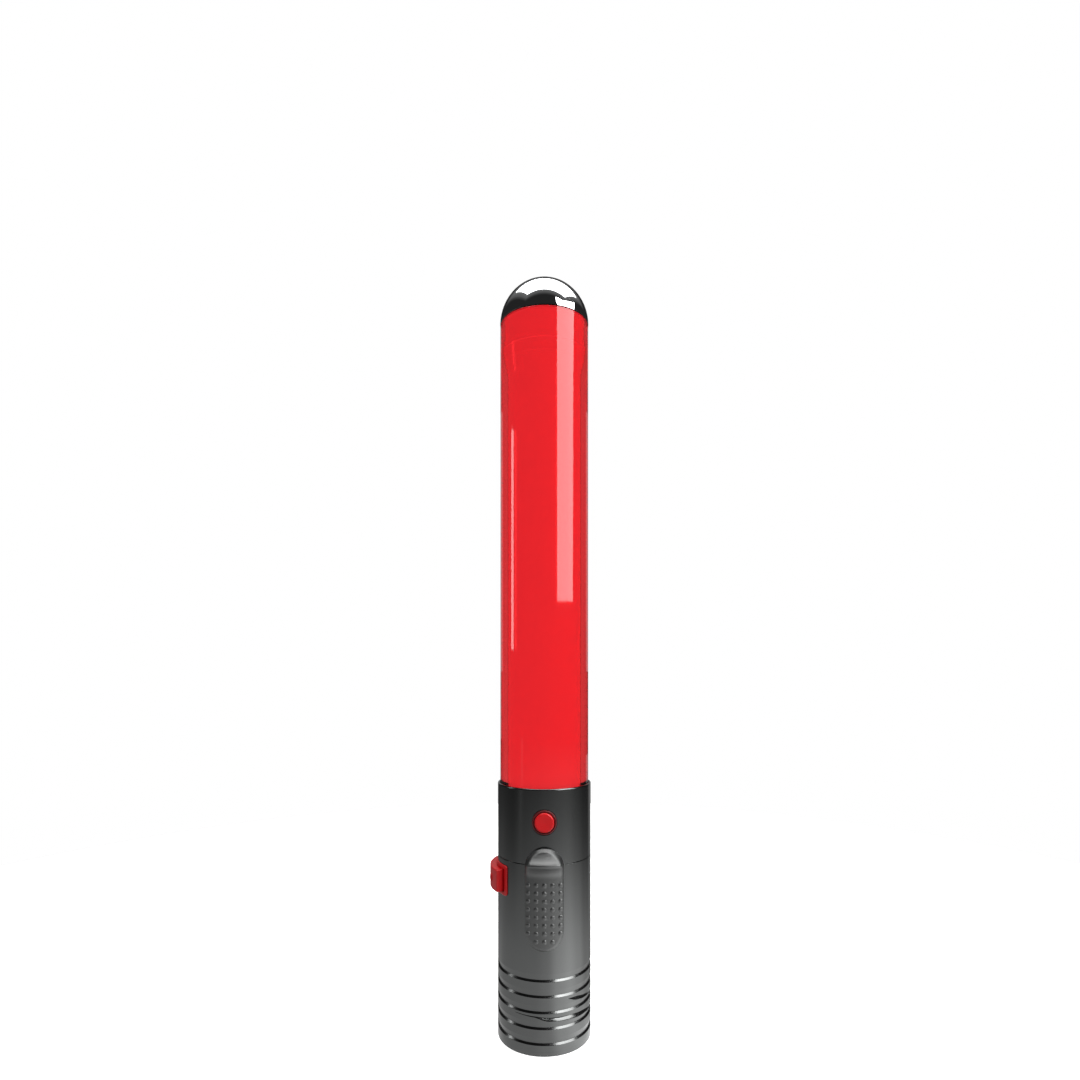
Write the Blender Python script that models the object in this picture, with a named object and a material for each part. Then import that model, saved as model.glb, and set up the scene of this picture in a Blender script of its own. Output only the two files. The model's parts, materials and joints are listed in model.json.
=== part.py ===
"""A hand-held traffic baton light: red light tube, polished dome cap and a grey two-piece handle.

Metres, +Z up. The baton stands on its base, whose centre is the origin, and its axis is +Z.
The front, with the push button and the thumb slide, faces -Y; the rocker switch is on -X and
the charging port cover at the back, +Y. An azimuth is in degrees from the front towards +X.
"""

from math import cos, pi, radians, sin, sqrt

import bmesh
import bpy
from mathutils import Vector

MM = 0.001

# Driving dimensions.
HANDLE_RADIUS = 20.4 * MM
TUBE_RADIUS = 19.3 * MM
DOME_RADIUS = 19.4 * MM
TOTAL_HEIGHT = 330.0 * MM
RIM_HEIGHT = 110.3 * MM
SEAM_HEIGHT = 79.0 * MM
GAP = 0.3 * MM

# Handle shells.
GRIP_BORE = 17.6 * MM
COLLAR_BORE = 17.8 * MM
SPIGOT_RADIUS = 17.3 * MM
SPIGOT_TOP = 86.0 * MM
BOARD_SEAT_HEIGHT = 80.3 * MM
LEDGE_TOP = 102.4 * MM
FLANGE_RADIUS = 18.75 * MM
PLUG_FLOOR = 3.0 * MM
PLUG_TOP = 8.0 * MM

# Ring notches round the tail of the grip: a short slope above each shelf, then a long shallow ramp.
NOTCH_COUNT = 5
NOTCH_FIRST = 4.7 * MM
NOTCH_PITCH = 6.53 * MM
NOTCH_SLOPE = 0.8 * MM
NOTCH_RAMP = 3.3 * MM
NOTCH_DEPTH = 0.6 * MM
LAND_HALF_ANGLE = 5.5

# Thumb slide on the front of the grip.
PAD_BOTTOM = 44.0 * MM
PAD_TOP = 86.2 * MM
PAD_HALF_WIDTH = 8.05 * MM
PAD_HEIGHT = 2.6 * MM
STEM_HALF_WIDTH = 2.2 * MM
STEM_BOTTOM = 60.0 * MM
STEM_TOP = 68.0 * MM
SLIDE_TRAVEL = 5.0 * MM
BUMP_PITCH_ACROSS = 3.05 * MM
BUMP_PITCH_UP = 3.29 * MM
BUMP_TOP_ROW = 71.4 * MM
BUMP_RADIUS = 0.8 * MM
BUMP_HEIGHT = 0.55 * MM

# Rocker switch on the left side.
ROCKER_AZIMUTH = -90.0
ROCKER_HALF_ANGLE = 32.5
ROCKER_HEIGHTS = (65.3 * MM, 74.7 * MM)
ROCKER_RADII = (18.2 * MM, 23.8 * MM)
MARK_HEIGHT = 0.4 * MM
ROCKER_PIVOT_RADIUS = 19.6 * MM

# Push button on the front of the collar.
BUTTON_HEIGHT = 96.6 * MM
BUTTON_RADIUS = 4.2 * MM
BUTTON_BEZEL_RADIUS = 5.1 * MM
BUTTON_FLANGE_RADIUS = 5.7 * MM
BUTTON_FACE = 21.7 * MM

# Port cover at the back of the collar.
COVER_HEIGHTS = (83.6 * MM, 99.3 * MM)
COVER_HALF_ANGLE = 37.0
COVER_RADII = (19.6 * MM, 21.3 * MM)
COVER_BARREL_RADIUS = 1.0 * MM
COVER_HINGE_RADIUS = 20.2 * MM
COVER_HINGE_AZIMUTH = 180.0 - COVER_HALF_ANGLE
PORT_HEIGHT = 91.5 * MM

# Light tube and what it holds.
TUBE_BOTTOM = 103.8 * MM
TUBE_TOP = 310.3 * MM
TUBE_WALL = 3.2 * MM
# The tube's bore opens towards its top, as (radius, height).
TUBE_FLARE = ((16.1 * MM, 286 * MM), (16.4 * MM, 290 * MM), (17.1 * MM, 296 * MM), (17.5 * MM, 299 * MM))
DOME_BASE = TOTAL_HEIGHT - DOME_RADIUS
HOLDER_BOTTOM = 298.3 * MM
HOLDER_RADIUS = 17.2 * MM
CORE_RADIUS = 15.8 * MM
# The core widens with the bore, as (radius, height).
CORE_FLARE = ((15.8 * MM, 286 * MM), (16.05 * MM, 290 * MM), (16.45 * MM, 293 * MM))
CORE_CAP_RADIUS = 16.95 * MM
CORE_WALL = 1.5 * MM
CORE_BASE = 106.0 * MM
CORE_TOP = 293.0 * MM
BAR_HALF_WIDTH = 4.0 * MM
LED_COUNT = 9

# Power.
CELL_RADIUS = 9.2 * MM
CELL_Y = 5.6 * MM
CELL_BOTTOM = 14.0 * MM
CELL_TOP = 78.2 * MM

ROUND = 40
INNER_ROUND = 24
SMALL_ROUND = 12

GREY = ("handle_grey", (0.055, 0.057, 0.058), 0.42, 0.0)
SLIDE_GREY = ("slide_grey", (0.085, 0.087, 0.088), 0.5, 0.0)
RED = ("control_red", (0.62, 0.008, 0.012), 0.35, 0.0)
DARK_RED = ("bezel_red", (0.2, 0.005, 0.008), 0.3, 0.0)
LENS_RED = ("lens_red", (0.85, 0.01, 0.02), 0.08, 0.0)
MILKY_RED = ("diffuser_red", (0.9, 0.03, 0.03), 0.5, 0.0)
CHROME = ("chrome", (0.8, 0.8, 0.8), 0.05, 1.0)
STEEL = ("steel", (0.55, 0.55, 0.56), 0.3, 1.0)
BLACK = ("black_plastic", (0.02, 0.02, 0.02), 0.5, 0.0)
RUBBER = ("rubber", (0.015, 0.015, 0.015), 0.8, 0.0)
BOARD = ("board_green", (0.01, 0.12, 0.05), 0.4, 0.0)
WHITE = ("white_plastic", (0.8, 0.8, 0.78), 0.5, 0.0)
CELL_WRAP = ("cell_wrap", (0.03, 0.15, 0.45), 0.35, 0.0)


def clear_scene():
    for obj in list(bpy.data.objects):
        bpy.data.objects.remove(obj)


def material(finish):
    name, colour, roughness, metallic = finish
    found = bpy.data.materials.get(name)
    if found:
        return found
    made = bpy.data.materials.new(name)
    made.use_nodes = True
    shader = made.node_tree.nodes["Principled BSDF"]
    shader.inputs["Base Color"].default_value = (*colour, 1.0)
    shader.inputs["Roughness"].default_value = roughness
    shader.inputs["Metallic"].default_value = metallic
    return made


# Shapes.


def around(radius, azimuth, height):
    """The point at this radius from the baton's axis, azimuth in degrees and height."""
    angle = radians(azimuth)
    return Vector((radius * sin(angle), -radius * cos(angle), height))


def skin(name, rings, finish, loop=False):
    """One closed body through rings of points. Each ring is closed, and an open run of rings is capped."""
    bm = bmesh.new()
    rows = [[bm.verts.new(point) for point in ring] for ring in rings]
    count = len(rows[0])
    for here, there in zip(rows, rows[1:] + rows[:1] if loop else rows[1:]):
        for k in range(count):
            after = (k + 1) % count
            bm.faces.new((here[k], here[after], there[after], there[k]))
    if not loop:
        bm.faces.new(rows[0])
        bm.faces.new(rows[-1])
    bmesh.ops.remove_doubles(bm, verts=bm.verts, dist=1e-7)
    bmesh.ops.recalc_face_normals(bm, faces=bm.faces)
    mesh = bpy.data.meshes.new(name)
    bm.to_mesh(mesh)
    bm.free()
    mesh.materials.append(material(finish))
    mesh.shade_smooth()
    mesh.set_sharp_from_angle(angle=radians(35))
    obj = bpy.data.objects.new(name, mesh)
    bpy.context.scene.collection.objects.link(obj)
    return obj


def turned(name, outline, finish, segments=ROUND, centre=(0.0, 0.0)):
    """A closed outline of (radius, height) points turned round the vertical line through centre."""
    rings = []
    for k in range(segments):
        azimuth = 360.0 * k / segments
        offset = Vector((centre[0], centre[1], 0.0))
        rings.append([around(r, azimuth, h) + offset for r, h in outline])
    return skin(name, rings, finish, loop=True)


def sector(name, outline, start, end, finish, steps):
    """A closed outline of (radius, height) points turned from azimuth start to azimuth end."""
    azimuths = [start + (end - start) * k / steps for k in range(steps + 1)]
    return skin(name, [[around(r, a, h) for r, h in outline] for a in azimuths], finish)


def arc_block(name, radii, heights, start, end, finish, steps=8):
    """A block bent round the axis, between two radii, two heights and two azimuths."""
    outline = [(r, h) for r, h in zip((radii[0], radii[1], radii[1], radii[0]), sorted(heights * 2))]
    return sector(name, outline, start, end, finish, steps)


def box(name, low, high, finish):
    """A block between two opposite corners."""
    (x0, y0, z0), (x1, y1, z1) = low, high
    corners = ((x0, y0), (x1, y0), (x1, y1), (x0, y1))
    return skin(name, [[(x, y, z) for x, y in corners] for z in (z0, z1)], finish)


def rod(name, start, end, radius, finish, segments=SMALL_ROUND, end_radius=None):
    """A straight round bar between two points, which may taper to end_radius."""
    start, end = Vector(start), Vector(end)
    turn = (end - start).to_track_quat("Z", "Y")
    rings = []
    for centre, size in ((start, radius), (end, end_radius or radius)):
        angles = [2 * pi * (k + 0.5) / segments for k in range(segments)]
        rings.append([centre + turn @ Vector((size * cos(a), size * sin(a), 0)) for a in angles])
    return skin(name, rings, finish)


def tube_along(name, points, radius, finish, sides=5):
    """A round wire or cord through points, as one closed skin."""
    points = [Vector(p) for p in points]
    rings = []
    for k, point in enumerate(points):
        ahead = points[min(k + 1, len(points) - 1)] - points[max(k - 1, 0)]
        turn = ahead.to_track_quat("Z", "Y")
        angles = [2 * pi * j / sides for j in range(sides)]
        rings.append([point + turn @ Vector((radius * cos(a), radius * sin(a), 0)) for a in angles])
    return skin(name, rings, finish)


def ring_seal(name, ring_radius, section_radius, height):
    """A round-section sealing ring about the baton's axis."""
    angles = [2 * pi * k / 6 for k in range(6)]
    outline = [(ring_radius + section_radius * cos(a), height + section_radius * sin(a)) for a in angles]
    return turned(name, outline, RUBBER, INNER_ROUND)


def combine(obj, tool, operation):
    """Cuts tool from obj, or joins it on, and removes tool."""
    modifier = obj.modifiers.new("combine", "BOOLEAN")
    modifier.operation = operation
    modifier.solver = "EXACT"
    modifier.object = tool
    graph = bpy.context.evaluated_depsgraph_get()
    mesh = bpy.data.meshes.new_from_object(obj.evaluated_get(graph))
    obj.modifiers.clear()
    obj.data = mesh
    mesh.name = obj.name
    bpy.data.objects.remove(tool)
    return obj


def cut(obj, tool):
    return combine(obj, tool, "DIFFERENCE")


def join(obj, tool):
    return combine(obj, tool, "UNION")


def round_edges(obj, width, segments=2):
    modifier = obj.modifiers.new("rounded_edges", "BEVEL")
    modifier.width = width
    modifier.segments = segments
    modifier.limit_method = "ANGLE"
    modifier.angle_limit = radians(40)
    return obj


# Handle shells.


def notched_side(notched):
    """The grip's outer face from the foot up, as (radius, height) points, with its notches or plain."""
    depth = NOTCH_DEPTH if notched else 0.0
    points = []
    for k in range(NOTCH_COUNT):
        shelf = NOTCH_FIRST + k * NOTCH_PITCH
        points += [(HANDLE_RADIUS, shelf), (HANDLE_RADIUS - depth, shelf + NOTCH_SLOPE)]
        points += [(HANDLE_RADIUS, shelf + NOTCH_RAMP)]
    return points


def screw_places():
    """Where the three base screws go, as (x, y)."""
    return ((0.0, -12.5 * MM), (13.2 * MM, -1.0 * MM), (-13.2 * MM, -1.0 * MM))


def grip_shell():
    """The lower handle shell, with its spigot up into the collar, screw bosses and openings.

    The ring notches stop short of a plain land under the rocker switch.
    """
    edge = 0.6 * MM
    foot = [(19.0 * MM, 0.0), (HANDLE_RADIUS - edge, 0.0), (HANDLE_RADIUS, edge)]
    rest = [
        (HANDLE_RADIUS, SEAM_HEIGHT - GAP / 2),
        (SPIGOT_RADIUS, SEAM_HEIGHT - GAP / 2),
        (SPIGOT_RADIUS, 82.0 * MM),
        (16.2 * MM, 82.0 * MM),
        (16.2 * MM, 83.6 * MM),
        (SPIGOT_RADIUS, 83.6 * MM),
        (SPIGOT_RADIUS, SPIGOT_TOP),
        (15.6 * MM, SPIGOT_TOP),
        (15.6 * MM, BOARD_SEAT_HEIGHT),
        (15.0 * MM, BOARD_SEAT_HEIGHT),
        (15.0 * MM, 77.8 * MM),
        (GRIP_BORE, 76.3 * MM),
        (GRIP_BORE, 3.3 * MM),
        (19.0 * MM, 3.3 * MM),
    ]
    start, end = ROCKER_AZIMUTH + LAND_HALF_ANGLE, ROCKER_AZIMUTH - LAND_HALF_ANGLE + 360.0
    azimuths = [start + (end - start) * k / (ROUND - 1) for k in range(ROUND)]
    rings = [[around(r, a, h) for r, h in foot + notched_side(True) + rest] for a in azimuths]
    rings += [[around(r, a, h) for r, h in foot + notched_side(False) + rest] for a in (end, start)]
    shell = skin("grip_shell", rings, GREY, loop=True)
    for x, y in screw_places():
        outward = Vector((x, y, 0)).normalized() * 18.6 * MM
        across = Vector((-outward.y, outward.x, 0)).normalized() * 1.2 * MM
        inner = Vector((x, y, 0))
        web = [inner - across, outward - across, outward + across, inner + across]
        rings = [[p + Vector((0, 0, z)) for p in web] for z in (9.2 * MM, 18.0 * MM)]
        boss = rod("boss", (x, y, 9.2 * MM), (x, y, 18.0 * MM), 2.6 * MM, GREY, SMALL_ROUND)
        join(boss, skin("web", rings, GREY))
        cut(boss, rod("pilot", (x, y, 8.0 * MM), (x, y, 19.0 * MM), 1.35 * MM, GREY, 12))
        join(shell, boss)
    window_heights = (ROCKER_HEIGHTS[0] - 1.35 * MM, ROCKER_HEIGHTS[1] + 1.35 * MM)
    reach = ROCKER_HALF_ANGLE + 4.6
    window = arc_block(
        "window", (14.0 * MM, 22.0 * MM), window_heights, ROCKER_AZIMUTH - reach, ROCKER_AZIMUTH + reach, GREY
    )
    cut(shell, window)
    slot_half = STEM_HALF_WIDTH + GAP
    low = (-slot_half, -22.0 * MM, STEM_BOTTOM - SLIDE_TRAVEL - 2 * GAP)
    high = (slot_half, -14.0 * MM, STEM_TOP + GAP)
    return cut(shell, box("slot", low, high, GREY))


def base_plug():
    """The closed end of the grip: a floor with three counterbored holes and a spigot with a seal groove."""
    outline = [
        (0.0, 0.0),
        (FLANGE_RADIUS, 0.0),
        (FLANGE_RADIUS, PLUG_FLOOR),
        (SPIGOT_RADIUS, PLUG_FLOOR),
        (SPIGOT_RADIUS, 4.6 * MM),
        (16.2 * MM, 4.6 * MM),
        (16.2 * MM, 6.2 * MM),
        (SPIGOT_RADIUS, 6.2 * MM),
        (SPIGOT_RADIUS, PLUG_TOP),
        (15.2 * MM, PLUG_TOP),
        (15.2 * MM, PLUG_FLOOR),
        (0.0, PLUG_FLOOR),
    ]
    plug = turned("base_plug", outline, GREY, INNER_ROUND)
    for x, y in screw_places():
        cut(plug, rod("hole", (x, y, -1 * MM), (x, y, 9 * MM), 1.5 * MM, GREY, 12))
        cut(plug, rod("counterbore", (x, y, -1 * MM), (x, y, 1.9 * MM), 2.6 * MM, GREY, 16))
    return plug


def base_screws():
    """Three pan-head screws, through the plug and into the bosses of the grip shell."""
    for k, (x, y) in enumerate(screw_places()):
        screw = rod(f"base_screw_{k + 1}", (x, y, 0.3 * MM), (x, y, 1.6 * MM), 2.2 * MM, STEEL, 16)
        join(screw, rod("shank", (x, y, 1.2 * MM), (x, y, 15.0 * MM), 1.05 * MM, STEEL, 10))
        drive = 0.5 * MM
        for across in ((1.4 * MM, drive / 2), (drive / 2, 1.4 * MM)):
            low = (x - across[0], y - across[1], 0.0)
            cut(screw, box("drive", low, (x + across[0], y + across[1], 0.8 * MM), STEEL))


def collar():
    """The upper handle shell, which seats the light tube and carries the button and the port cover."""
    edge = 0.5 * MM
    outline = [
        (COLLAR_BORE, SEAM_HEIGHT + GAP / 2),
        (HANDLE_RADIUS, SEAM_HEIGHT + GAP / 2),
        (HANDLE_RADIUS, RIM_HEIGHT - edge),
        (HANDLE_RADIUS - edge, RIM_HEIGHT),
        (TUBE_RADIUS + GAP, RIM_HEIGHT),
        (TUBE_RADIUS + GAP, LEDGE_TOP),
        (14.0 * MM, LEDGE_TOP),
        (14.0 * MM, 100.9 * MM),
        (16.3 * MM, 100.9 * MM),
        (COLLAR_BORE, 99.6 * MM),
    ]
    shell = turned("collar", outline, GREY)
    for start, end, radius in (
        (-22 * MM, -16 * MM, BUTTON_BEZEL_RADIUS),
        (-22 * MM, -19.3 * MM, BUTTON_BEZEL_RADIUS + GAP),
        (-17.9 * MM, -14 * MM, BUTTON_FLANGE_RADIUS + GAP),
    ):
        cut(shell, rod("hole", (0, start, BUTTON_HEIGHT), (0, end, BUTTON_HEIGHT), radius, GREY, 24))
    low, high = COVER_HEIGHTS
    edges = (180.0 - COVER_HALF_ANGLE - 0.9, 180.0 + COVER_HALF_ANGLE + 0.9)
    recess = arc_block("recess", (19.2 * MM, 22 * MM), (low - GAP, high + GAP), *edges, GREY)
    cut(shell, recess)
    hinge = around(COVER_HINGE_RADIUS, COVER_HINGE_AZIMUTH, 0)
    bottom, top = Vector((0, 0, low - GAP)), Vector((0, 0, high + GAP))
    channel_radius = COVER_BARREL_RADIUS + 0.45 * MM
    cut(shell, rod("channel", hinge + bottom, hinge + top, channel_radius, GREY, SMALL_ROUND))
    more = Vector((0, 0, 1.3 * MM))
    cut(shell, rod("pin_hole", hinge + bottom - more, hinge + top + more, 0.7 * MM, GREY, 12))
    bottom, top = PORT_HEIGHT - 2.0 * MM, PORT_HEIGHT + 2.0 * MM
    port = box("port", (-4.9 * MM, 15 * MM, bottom), (4.9 * MM, 22 * MM, top), GREY)
    return cut(shell, round_edges(port, 1.6 * MM, 3))


# Controls.


def push_button():
    """The round button with its retaining flange and the stem that reaches the tact switch."""
    height = BUTTON_HEIGHT
    button = rod("push_button", (0, -17.4 * MM, height), (0, -BUTTON_FACE, height), BUTTON_RADIUS, RED, 24)
    round_edges(button, 0.4 * MM)
    ends = (0, -16.6 * MM, height), (0, -17.6 * MM, height)
    join(button, rod("flange", *ends, BUTTON_FLANGE_RADIUS, RED, 24))
    join(button, rod("stem", (0, -12.6 * MM, height), (0, -16.8 * MM, height), 1.4 * MM, RED, 16))

    bezel_face = 20.9 * MM
    outer = BUTTON_BEZEL_RADIUS
    bezel = rod("button_bezel", (0, -19.6 * MM, height), (0, -bezel_face, height), outer, DARK_RED, 24)
    round_edges(bezel, 0.35 * MM)
    join(bezel, rod("neck", (0, -17.9 * MM, height), (0, -19.8 * MM, height), outer - 0.2 * MM, DARK_RED, 24))
    bore = BUTTON_RADIUS + 0.2 * MM
    cut(bezel, rod("bore", (0, -17 * MM, height), (0, -22 * MM, height), bore, DARK_RED, 24))


def button_spring():
    """The button's return spring, round the stem and between the flange and the tact switch."""
    turns, steps = 3.5, 10
    front, back = -16.1 * MM, -13.85 * MM
    points = []
    for k in range(int(turns * steps) + 1):
        angle = 2 * pi * k / steps
        along = front + (back - front) * k / (turns * steps)
        points.append((2.3 * MM * cos(angle), along, BUTTON_HEIGHT + 2.3 * MM * sin(angle)))
    tube_along("button_spring", points, 0.22 * MM, STEEL)


def lip_profile():
    """Heights of the thumb slide's face above the handle, from its top edge down past the hooked lip."""
    return [
        (PAD_TOP, 1.5 * MM),
        (85.75 * MM, 2.5 * MM),
        (85.2 * MM, 2.9 * MM),
        (84.4 * MM, 3.3 * MM),
        (83.6 * MM, 3.8 * MM),
        (82.8 * MM, 4.45 * MM),
        (82.0 * MM, 5.25 * MM),
        (81.3 * MM, 6.1 * MM),
        (80.8 * MM, 6.65 * MM),
        (80.3 * MM, 6.8 * MM),
        (79.6 * MM, 6.4 * MM),
        (78.5 * MM, 5.15 * MM),
        (77.2 * MM, 3.9 * MM),
        (75.9 * MM, 3.0 * MM),
        (74.2 * MM, PAD_HEIGHT),
    ]


def pad_levels():
    """Heights at which the thumb slide is cross-cut, with the face height at each, from the bottom up."""
    end = PAD_BOTTOM + PAD_HALF_WIDTH
    rows = []
    for turn in (8, 20, 34, 50, 68, 90):
        height = end - PAD_HALF_WIDTH * cos(radians(turn))
        rows.append((height, PAD_HEIGHT - 0.7 * MM * max(0.0, 1 - turn / 34)))
    rows += [(z * MM, PAD_HEIGHT) for z in (57, 62, 67, 71)]
    return rows + lip_profile()[::-1]


def over_handle(x, rise, height):
    """A point in front of the handle's surface at a distance x from the middle."""
    return Vector((x, -sqrt(HANDLE_RADIUS**2 - x * x) - rise, height))


def pad_half_width(height):
    """Half the width of the slide's outline, which has round ends."""
    low, high = PAD_BOTTOM + PAD_HALF_WIDTH, PAD_TOP - PAD_HALF_WIDTH
    past = max(low - height, height - high, 0.0)
    return sqrt(max(PAD_HALF_WIDTH**2 - past**2, (0.9 * MM) ** 2))


def thumb_slide():
    """The slide's pad, bent round the handle, with grip bumps and a stem through the slot in the shell."""
    half_face = ((1.0, 1.1), (0.93, 0.4), (0.8, 0.0), (0.4, 0.0))
    face = [(-share, drop) for share, drop in half_face] + [(0.0, 0.0), *half_face[::-1]]
    back = (1.0, 0.5, 0.0, -0.5, -1.0)
    rings = []
    for height, rise in pad_levels():
        reach = pad_half_width(height)
        ring = [over_handle(share * reach, rise - drop * MM, height) for share, drop in face]
        ring += [over_handle(share * reach, GAP, height) for share in back]
        rings.append(ring)
    pad = skin("thumb_slide", rings, SLIDE_GREY)
    low = (-STEM_HALF_WIDTH, -21.5 * MM, STEM_BOTTOM)
    join(pad, box("stem", low, (STEM_HALF_WIDTH, -15.1 * MM, STEM_TOP), SLIDE_GREY))
    for row in range(8):
        columns = (-1, 0, 1) if row == 7 else (-2, -1, 0, 1, 2)
        for column in columns:
            height = BUMP_TOP_ROW - row * BUMP_PITCH_UP
            azimuth = column * BUMP_PITCH_ACROSS / HANDLE_RADIUS * 180 / pi
            foot = around(HANDLE_RADIUS + PAD_HEIGHT - 0.4 * MM, azimuth, height)
            tip = around(HANDLE_RADIUS + PAD_HEIGHT + BUMP_HEIGHT, azimuth, height)
            join(pad, rod("bump", foot, tip, BUMP_RADIUS, SLIDE_GREY, 5, 0.5 * BUMP_RADIUS))
    return pad


def slide_carriage():
    """The runner inside the grip that keeps the slide on, with a fork for the mode switch's knob."""
    bottom, top = STEM_BOTTOM - 2.5 * MM, STEM_TOP + 2.5 * MM
    runner = box("slide_carriage", (-4.8 * MM, -16.4 * MM, bottom), (4.8 * MM, -14.6 * MM, top), BLACK)
    hole_low = (-STEM_HALF_WIDTH - GAP, -17 * MM, STEM_BOTTOM - GAP)
    cut(runner, box("hole", hole_low, (STEM_HALF_WIDTH + GAP, -14 * MM, STEM_TOP + GAP), BLACK))
    for low, high in ((61.4 * MM, 62.9 * MM), (65.1 * MM, 66.6 * MM)):
        join(runner, box("prong", (-4.0 * MM, -14.8 * MM, low), (4.0 * MM, -10.2 * MM, high), BLACK))


def rocker_switch():
    """The rocker bent round the handle, its bezel, its pivot pin and the switch that it works."""
    low, high = ROCKER_HEIGHTS
    first, last = ROCKER_AZIMUTH - ROCKER_HALF_ANGLE, ROCKER_AZIMUTH + ROCKER_HALF_ANGLE
    pivot = around(ROCKER_PIVOT_RADIUS, ROCKER_AZIMUTH, 0)
    up = Vector((0, 0, 1))

    rocker = arc_block("rocker", ROCKER_RADII, (low, high), first, last, RED)
    round_edges(rocker, 0.7 * MM)
    middle = (low + high) / 2
    join(rocker, rod("stub", (-18.6 * MM, 0, middle), (-14.6 * MM, 0, middle), 1.2 * MM, RED, 12))
    cut(rocker, rod("bore", pivot + up * (low - MM), pivot + up * (high + MM), 1.05 * MM, RED, 16))
    outer = ROCKER_RADII[1]
    quarter = ROCKER_HALF_ANGLE / 2
    ring = [around(outer + rise, ROCKER_AZIMUTH + quarter, middle) for rise in (-MM, MARK_HEIGHT)]
    ring_mark = rod("ring_mark", *ring, 1.6 * MM, RED, 16)
    cut(ring_mark, rod("middle", ring[0], ring[1] + (ring[1] - ring[0]), 0.9 * MM, RED, 12))
    join(rocker, ring_mark)
    bar_heights = (middle - 1.7 * MM, middle + 1.7 * MM)
    bar_ends = (ROCKER_AZIMUTH - quarter - 1.2, ROCKER_AZIMUTH - quarter + 1.2)
    join(rocker, arc_block("bar_mark", (outer - MM, outer + MARK_HEIGHT), bar_heights, *bar_ends, RED))

    opening, neck, flange = 3.0, 4.0, 8.0
    bezel = arc_block(
        "rocker_bezel",
        (HANDLE_RADIUS + GAP, HANDLE_RADIUS + 0.8 * MM),
        (low - 1.5 * MM, high + 1.9 * MM),
        first - flange,
        last + flange,
        RED,
    )
    round_edges(bezel, 0.2 * MM)
    neck_heights = (low - 1.1 * MM, high + 1.1 * MM)
    neck_radii = (17.9 * MM, HANDLE_RADIUS + 0.6 * MM)
    join(bezel, arc_block("neck", neck_radii, neck_heights, first - neck, last + neck, RED))
    opening_heights = (low - GAP, high + GAP)
    inside = (15 * MM, 23 * MM)
    cut(bezel, arc_block("opening", inside, opening_heights, first - opening, last + opening, RED))
    pin_ends = (pivot + up * (low - 0.9 * MM), pivot + up * (high + 0.9 * MM))
    cut(bezel, rod("pin_seat", *pin_ends, 1.05 * MM, RED, 16))
    rod("rocker_pin", pivot + up * (low - 0.6 * MM), pivot + up * (high + 0.6 * MM), 0.75 * MM, STEEL, 12)

    corners = (-16.0 * MM, -4.0 * MM, low - 0.8 * MM), (-12.0 * MM, 5.0 * MM, high + 0.8 * MM)
    body = box("power_switch", *corners, BLACK)
    cut(body, rod("well", (-17 * MM, 0, middle), (-13.0 * MM, 0, middle), 2.2 * MM, BLACK, 16))


def port_cover():
    """The bent cover over the charging port, with the barrel that turns on its hinge pin."""
    low, high = COVER_HEIGHTS
    hinge = around(COVER_HINGE_RADIUS, COVER_HINGE_AZIMUTH, 0)
    up = Vector((0, 0, 1))
    first, last = COVER_HINGE_AZIMUTH, 180.0 + COVER_HALF_ANGLE
    cover = arc_block("port_cover", COVER_RADII, (low, high), first, last, RED)
    round_edges(cover, 0.6 * MM)
    join(cover, rod("barrel", hinge + up * low, hinge + up * high, COVER_BARREL_RADIUS, RED, SMALL_ROUND))
    cut(cover, rod("bore", hinge + up * (low - MM), hinge + up * (high + MM), 0.7 * MM, RED, 12))
    rod("port_cover_pin", hinge + up * (low - 1.2 * MM), hinge + up * (high + 1.2 * MM), 0.45 * MM, STEEL, 10)


# Light head.


def dome_cap():
    """The hollow dome, and the cup in the top of the light tube that holds it."""
    steps = 8
    angles = [pi / 2 * k / steps for k in range(steps)]
    hollow_radius = DOME_RADIUS - 1.5 * MM
    outer = [(DOME_RADIUS * cos(a), DOME_BASE + DOME_RADIUS * sin(a)) for a in angles]
    inner = [(hollow_radius * cos(a), DOME_BASE + hollow_radius * sin(a)) for a in angles]
    tips = [(0.0, DOME_BASE + DOME_RADIUS), (0.0, DOME_BASE + hollow_radius)]
    turned("dome_cap", outer + tips + inner[::-1], CHROME, INNER_ROUND)

    wall, flange_top = 1.6 * MM, DOME_BASE + 1.8 * MM
    cup = [
        (0.0, HOLDER_BOTTOM),
        (HOLDER_RADIUS, HOLDER_BOTTOM),
        (HOLDER_RADIUS, DOME_BASE),
        (HOLDER_RADIUS + 0.5 * MM, DOME_BASE),
        (HOLDER_RADIUS + 0.5 * MM, flange_top),
        (HOLDER_RADIUS - wall, flange_top),
        (HOLDER_RADIUS - wall, HOLDER_BOTTOM + wall),
        (0.0, HOLDER_BOTTOM + wall),
    ]
    turned("cap_holder", cup, MILKY_RED, INNER_ROUND)


def light_tube():
    """The clear red outer tube and the gasket that it stands on."""
    inner = TUBE_RADIUS - TUBE_WALL
    turned(
        "light_tube",
        [
            (inner, TUBE_BOTTOM),
            (TUBE_RADIUS, TUBE_BOTTOM),
            (TUBE_RADIUS, TUBE_TOP),
            (TUBE_FLARE[-1][0], TUBE_TOP),
            *TUBE_FLARE[::-1],
        ],
        LENS_RED,
    )
    bottom, top = LEDGE_TOP + GAP, TUBE_BOTTOM - GAP
    first, last = inner + GAP, TUBE_RADIUS - 0.1 * MM
    turned("tube_gasket", [(first, bottom), (last, bottom), (last, top), (first, top)], RUBBER, INNER_ROUND)


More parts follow.
